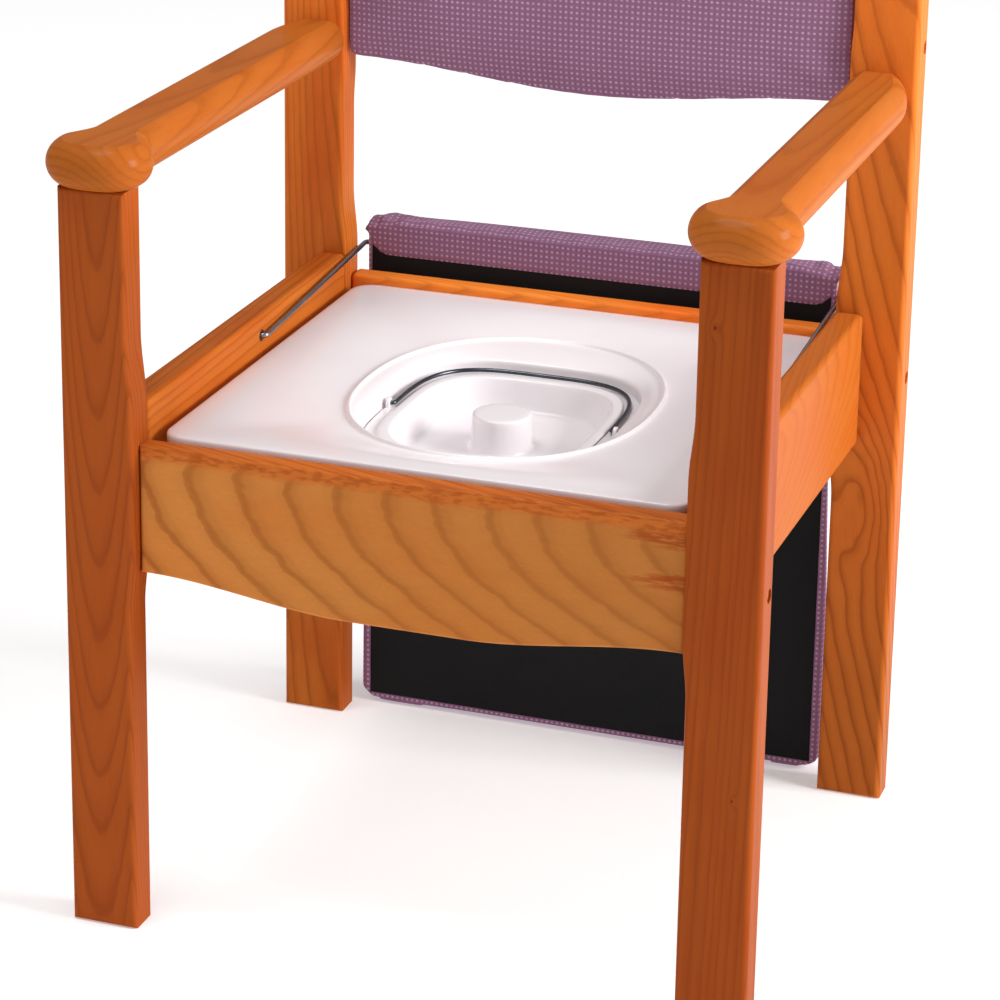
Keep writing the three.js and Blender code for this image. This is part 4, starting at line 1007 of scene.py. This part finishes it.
def seat_finish(mm):
    x, y, z = mm.T.copy()
    # edges of the turned cover pushed out to their full line
    k = sstep(SY0 + 34, SY0 + 22, y)
    lim = side_limit(z) - 0.9 * sstep(SY0 + 5, SY0 + 1, y)
    near = sstep(9.0, 2.0, SX - np.abs(x))
    x = x + np.sign(x) * (lim - np.abs(x)) * near * k
    x = np.where((y < SY0 + 34) & (np.abs(x) > lim), np.sign(x) * lim, x)
    z = z - sstep(14, 6, z) * k * (2.2 + 0.6 * np.cos(x / 60.0))
    # both ends filled out to the line of the pulled cover
    nose = lambda v: np.interp(v - SY0, [0, 2, 8, 20, 32, 40, 46], [491.5, 494.0, 497.0, 499.0, 499.2, 495.0, 486.0])
    tail = lambda v: np.interp(v - SY0, [0, 2, 10, 28, 38, 44], [5.0, 3.2, 2.6, 3.2, 7.0, 14.0])
    z = rim(z, y, nose, 48.0, 1, 3.0, floor=SZ1 - 34)
    z = rim(z, x, lambda v: 499.2 - rounded(v, 233.0, 8.0), 48.0, 1, 8.0, -3.0, 7.0)
    z = rim(z, y, tail, 40.0, -1, 3.0, floor=-36)
    z = rim(z, x, lambda v: 2.6 + rounded(v, 231.0, 12.0), 40.0, -1, 8.0, -3.0, 6.0)
    # turned-under edge standing proud of the board, cut back in a diagonal at the front corners
    flat = y < SY0 + 3.0
    cut = (SZ1 - FRONT_WRAP) + 10.5 * sstep(SX - 15, SX - 1, np.abs(x))
    edge = np.minimum.reduce([SX - WRAP - np.abs(x), z - (SZ0 + WRAP), cut - z])
    proud = sstep(0.8, -0.8, edge)
    y = np.where(flat, SY0 + 1.5 - 1.4 * proud, y)
    # small gathers along the pulled front edge, and a pleat at each front corner
    gather = 0.45 * np.sin(x * 2 * np.pi / 29.0 + 0.7 * np.sin(x / 31.0)) * sstep(SY0 + 30, SY0 + 8, y) * sstep(SZ1 - 30, SZ1 - 4, z)
    z = z + gather * (~flat)
    r = np.hypot(np.abs(x) - 221, (z - 489))
    z = z + 2.2 * np.exp(-(r / 9.0) ** 2) * sstep(SY0 + 6, SY0 + 20, y) * sstep(SY0 + 46, SY0 + 30, y)
    return np.stack([x, y, z], 1)


remap(seat, seat_finish)
piece(seat, "folding_seat", "upholstery", "seat_cushion")

# ---- dust cover under the board: one taut piece, hemmed, sagging a hair
cx0, cz0, cz1 = SX - WRAP - GAP, SZ0 + WRAP + GAP, SZ1 - FRONT_WRAP - GAP
nx_, nz_ = 60, 60
front_v, back_v, faces = [], [], []
for i in range(nx_ + 1):
    for j in range(nz_ + 1):
        u, v = i / nx_, j / nz_
        ex = min(u, 1 - u) * 2 * cx0
        ez = min(v, 1 - v) * (cz1 - cz0)
        pull = 1.1 * math.sin(u * math.pi * 19) * math.exp(-ez / 16) + 1.1 * math.sin(v * math.pi * 19) * math.exp(-ex / 16)
        yy = SY0 + 0.55 + 0.10 * pull * math.exp(-min(ex, ez) / 30) + 0.25 * smooth(min(ex, ez) / 60)
        hem = 0.25 if min(ex, ez) < 9 else 0.0
        xx = -cx0 + 2 * cx0 * u
        zz = cz0 + (cz1 + 9.5 * float(sstep(SX - 16, SX - 4, abs(xx))) - cz0) * v
        front_v.append((xx, yy - hem, zz))
        back_v.append((xx, SY0 + 1.35, zz))
N1 = (nx_ + 1) * (nz_ + 1)
idx = lambda i, j: i * (nz_ + 1) + j
for i in range(nx_):
    for j in range(nz_):
        faces.append((idx(i, j), idx(i + 1, j), idx(i + 1, j + 1), idx(i, j + 1)))
        faces.append((N1 + idx(i, j), N1 + idx(i, j + 1), N1 + idx(i + 1, j + 1), N1 + idx(i + 1, j)))
for i in range(nx_):
    for j in (0, nz_):
        faces.append((idx(i, j), N1 + idx(i, j), N1 + idx(i + 1, j), idx(i + 1, j)))
for j in range(nz_):
    for i in (0, nx_):
        faces.append((idx(i, j), idx(i, j + 1), N1 + idx(i, j + 1), N1 + idx(i, j)))
under = new_object("dust_cover_sheet", front_v + back_v, faces, dust, sharp=50, weighted=False)
piece(under, "folding_seat", "under_cloth", "seat_under_cloth")

# ---- backrest
BX, BY0, BY1 = 237.8, 484.0, 500.0


def zb(x):
    return 647 + 16.5 * (1 - np.cos(np.pi * np.abs(x) / BX)) / 2


def zt(x):
    return 868 + 18 * (1 + np.cos(np.pi * np.abs(x) / BX)) / 2


def back_loop(y, ins, r=10, nx=44, nz=18, nc=5):
    w = BX - ins
    out = []
    for i in range(nx + 1):
        x = -(w - r) + 2 * (w - r) * i / nx
        out.append((x, y, float(zb(x)) + ins))
    for i in range(1, nc):
        t = math.pi / 2 * i / nc
        out.append((w - r + r * math.sin(t), y, float(zb(w)) + ins + r * (1 - math.cos(t))))
    lo, hi = float(zb(w)) + ins + r, float(zt(w)) - ins - r
    for i in range(nz + 1):
        out.append((w, y, lo + (hi - lo) * i / nz))
    for i in range(1, nc):
        t = math.pi / 2 * i / nc
        out.append((w - r + r * math.cos(t), y, hi + r * math.sin(t)))
    for i in range(nx + 1):
        x = (w - r) - 2 * (w - r) * i / nx
        out.append((x, y, float(zt(x)) - ins))
    for i in range(1, nc):
        t = math.pi / 2 * i / nc
        out.append((-(w - r + r * math.sin(t)), y, float(zt(w)) - ins - r * (1 - math.cos(t))))
    for i in range(nz + 1):
        out.append((-w, y, hi - (hi - lo) * i / nz))
    for i in range(1, nc):
        t = math.pi / 2 * i / nc
        out.append((-(w - r + r * math.cos(t)), y, float(zb(w)) + ins + r - r * math.sin(t)))
    return out


loops = [back_loop(y, ins) for y, ins in ((BY1, 1.2), (BY1 - 4, 1.4), (BY1 - 8, 3.0), (BY1 - 11, 6.5), (BY1 - 12.5, 12.0), (BY1 - 13.5, 24.0))]
back = new_object("backrest_pad", *loft(loops), cloth, sharp=None, weighted=False)


def back_project(mm):
    x, y, z = mm.T
    x = np.clip(x, -BX, BX)
    y = np.clip(y, BY0 - 7.5, BY1)
    z = np.clip(z, zb(x), zt(x))
    return np.stack([x, y, z], 1)


inflate(back, 4.0, 9.0, lambda m: m[:, 1] > BY1 - 6.5, voxel=4.5, project=back_project)


def back_finish(mm):
    x, y, z = mm.T.copy()
    z = rim(z, x, lambda v: zb(v) + 0.3 + rounded(v, BX, 10.0), 34.0, -1, 3.0)
    z = rim(z, x, lambda v: zt(v) - 0.3 - rounded(v, BX, 10.0), 34.0, 1, 3.0)
    for sign in (1, -1):
        x = rim(x, z, lambda v: v * 0 + sign * (BX - 0.3), 24.0, sign, 12.0, 0.0, 4.0)
    near = np.minimum(z - zb(x), zt(x) - z)
    side = BX - np.abs(x)
    g = 0.35 * np.sin(x * 2 * np.pi / 27.0 + 0.9 * np.sin(x / 37.0)) * np.exp(-np.clip(near - 4, 0, None) / 10)
    h = 0.30 * np.sin(z * 2 * np.pi / 24.0) * np.exp(-np.clip(side - 4, 0, None) / 10)
    y = np.where(y < BY1 - 3, y + g + h, y)
    return np.stack([x, y, z], 1)


remap(back, back_finish)
piece(back, "frame", "upholstery", "backrest_cushion")

# ---- cover panel on the back of the backrest, with a soft folded edge
rows = [(BY1 + 12.6, 4.6), (BY1 + 13.4, 4.0), (BY1 + 14.6, 4.1), (BY1 + 15.3, 5.0), (BY1 + 15.6, 7.0), (BY1 + 15.5, 14.0), (BY1 + 15.4, 40.0)]
panel_back = new_object("backrest_back_panel", *loft([back_loop(y, ins) for y, ins in rows]), cloth, sharp=50, weighted=True)
piece(panel_back, "frame", "upholstery", "backrest_back_cover")


# ===================================================== carried-over CAD nodes
def give(node, mat):
    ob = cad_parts.get(node)
    if ob is None:
        return
    if not ob.material_slots:
        ob.data.materials.append(mat)
    for s in ob.material_slots:
        s.material = mat


batten_x = lumber("softwood_x", lin(214, 176, 122), lin(172, 120, 70), (1, 0, 0), 1.0)
batten_y = lumber("softwood_y", lin(214, 176, 122), lin(172, 120, 70), (0, 1, 0), 2.0)
block_z = lumber("softwood_z", lin(210, 170, 116), lin(168, 116, 66), (0, 0, 1), 3.0)
ply = plywood("plywood")
bush = nylon("nylon")
for word in ("left", "right"):
    give(f"batten_{word}", batten_y)
    give(f"pivot_bush_{word}", bush)
    for wy in ("front", "rear"):
        give(f"corner_block_{wy}_{word}", block_z)
    for sid, *_ in SCREWS:
        give(f"screw_{sid}_{word}", screw_steel)
give("batten_front", batten_x)
give("batten_rear", batten_x)
give("seat_base_board", ply)
give("backrest_board", ply)

# ================================================================ floor, light
bm = bmesh.new()
bmesh.ops.create_grid(bm, x_segments=40, y_segments=40, size=9.0)
me = bpy.data.meshes.new("floor")
bm.to_mesh(me)
bm.free()
floor = bpy.data.objects.new("floor", me)
scene.collection.objects.link(floor)
ft = Tree("floor_pale")
fn = ft.noise(ft.obj, 3.0, 3.0, 0.5)
ft.base(ft.mix(fn, (0.90, 0.90, 0.90, 1), (0.88, 0.88, 0.885, 1)))
ft.set(Roughness=0.8, Specular_IOR_Level=0.1)
ft.bsdf.inputs["Emission Color"].default_value = (1, 1, 1, 1)
ft.put(ft.bsdf.inputs["Emission Strength"], ft.rng(ft.vmath("LENGTH", ft.obj), 0.2, 3.0, 0.31, 0.56, smooth_step=True))
me.materials.append(ft.mat)
floor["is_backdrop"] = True

world = scene.world or bpy.data.worlds.new("World")
scene.world = world
world.use_nodes = True
bg = world.node_tree.nodes.get("Background") or world.node_tree.nodes.new("ShaderNodeBackground")
bg.inputs[0].default_value = (1, 1, 1, 1)
bg.inputs[1].default_value = 0.31


def softbox(name, loc, target, size, power, colour=(1, 1, 1), size_y=None):
    li = bpy.data.lights.new(name, "AREA")
    li.energy, li.size, li.color = power, size, colour
    if size_y:
        li.shape, li.size_y = "RECTANGLE", size_y
    ob = bpy.data.objects.new(name, li)
    ob.location = loc
    ob.rotation_euler = (Vector(target) - Vector(loc)).to_track_quat("-Z", "Y").to_euler()
    scene.collection.objects.link(ob)
    return ob


softbox("key_right", (3.1, 0.0, 1.6), (0, 0, 0.45), 1.4, 128)
softbox("top", (-0.5, -0.7, 3.2), (0, 0, 0.3), 1.3, 42)
softbox("fill_front", (-2.2, -3.4, 2.2), (0, 0, 0.5), 1.6, 1.5)

# ==================================================================== camera
az, el, roll = math.radians(19.676), math.radians(17.899), math.radians(0.67)
fwd = Vector((-math.sin(az) * math.cos(el), math.cos(az) * math.cos(el), -math.sin(el)))
right = Vector((math.cos(az), math.sin(az), 0))
up = right.cross(fwd)
rr = right * math.cos(roll) + up * math.sin(roll)
uu = -right * math.sin(roll) + up * math.cos(roll)
cam_data = bpy.data.cameras.new("camera")
cam_data.sensor_width = 36
cam_data.lens = 124.18
cam_data.shift_x, cam_data.shift_y = 0.0574, -0.1859
cam_data.clip_start, cam_data.clip_end = 0.05, 60
cam = bpy.data.objects.new("camera", cam_data)
scene.collection.objects.link(cam)
cam.matrix_world = Matrix(((rr.x, uu.x, -fwd.x, 0.8991), (rr.y, uu.y, -fwd.y, -2.6956), (rr.z, uu.z, -fwd.z, 1.4207), (0, 0, 0, 1)))
scene.camera = cam
scene.view_settings.view_transform = "Standard"
scene.view_settings.look = "None"
scene.view_settings.exposure = 0.0
scene.view_settings.gamma = 1.0

bpy.context.view_layer.update()
as_list = lambda b: [[float(c) for c in v] for v in b]
{"cad": as_list(cad_box), "visual": as_list(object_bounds())}
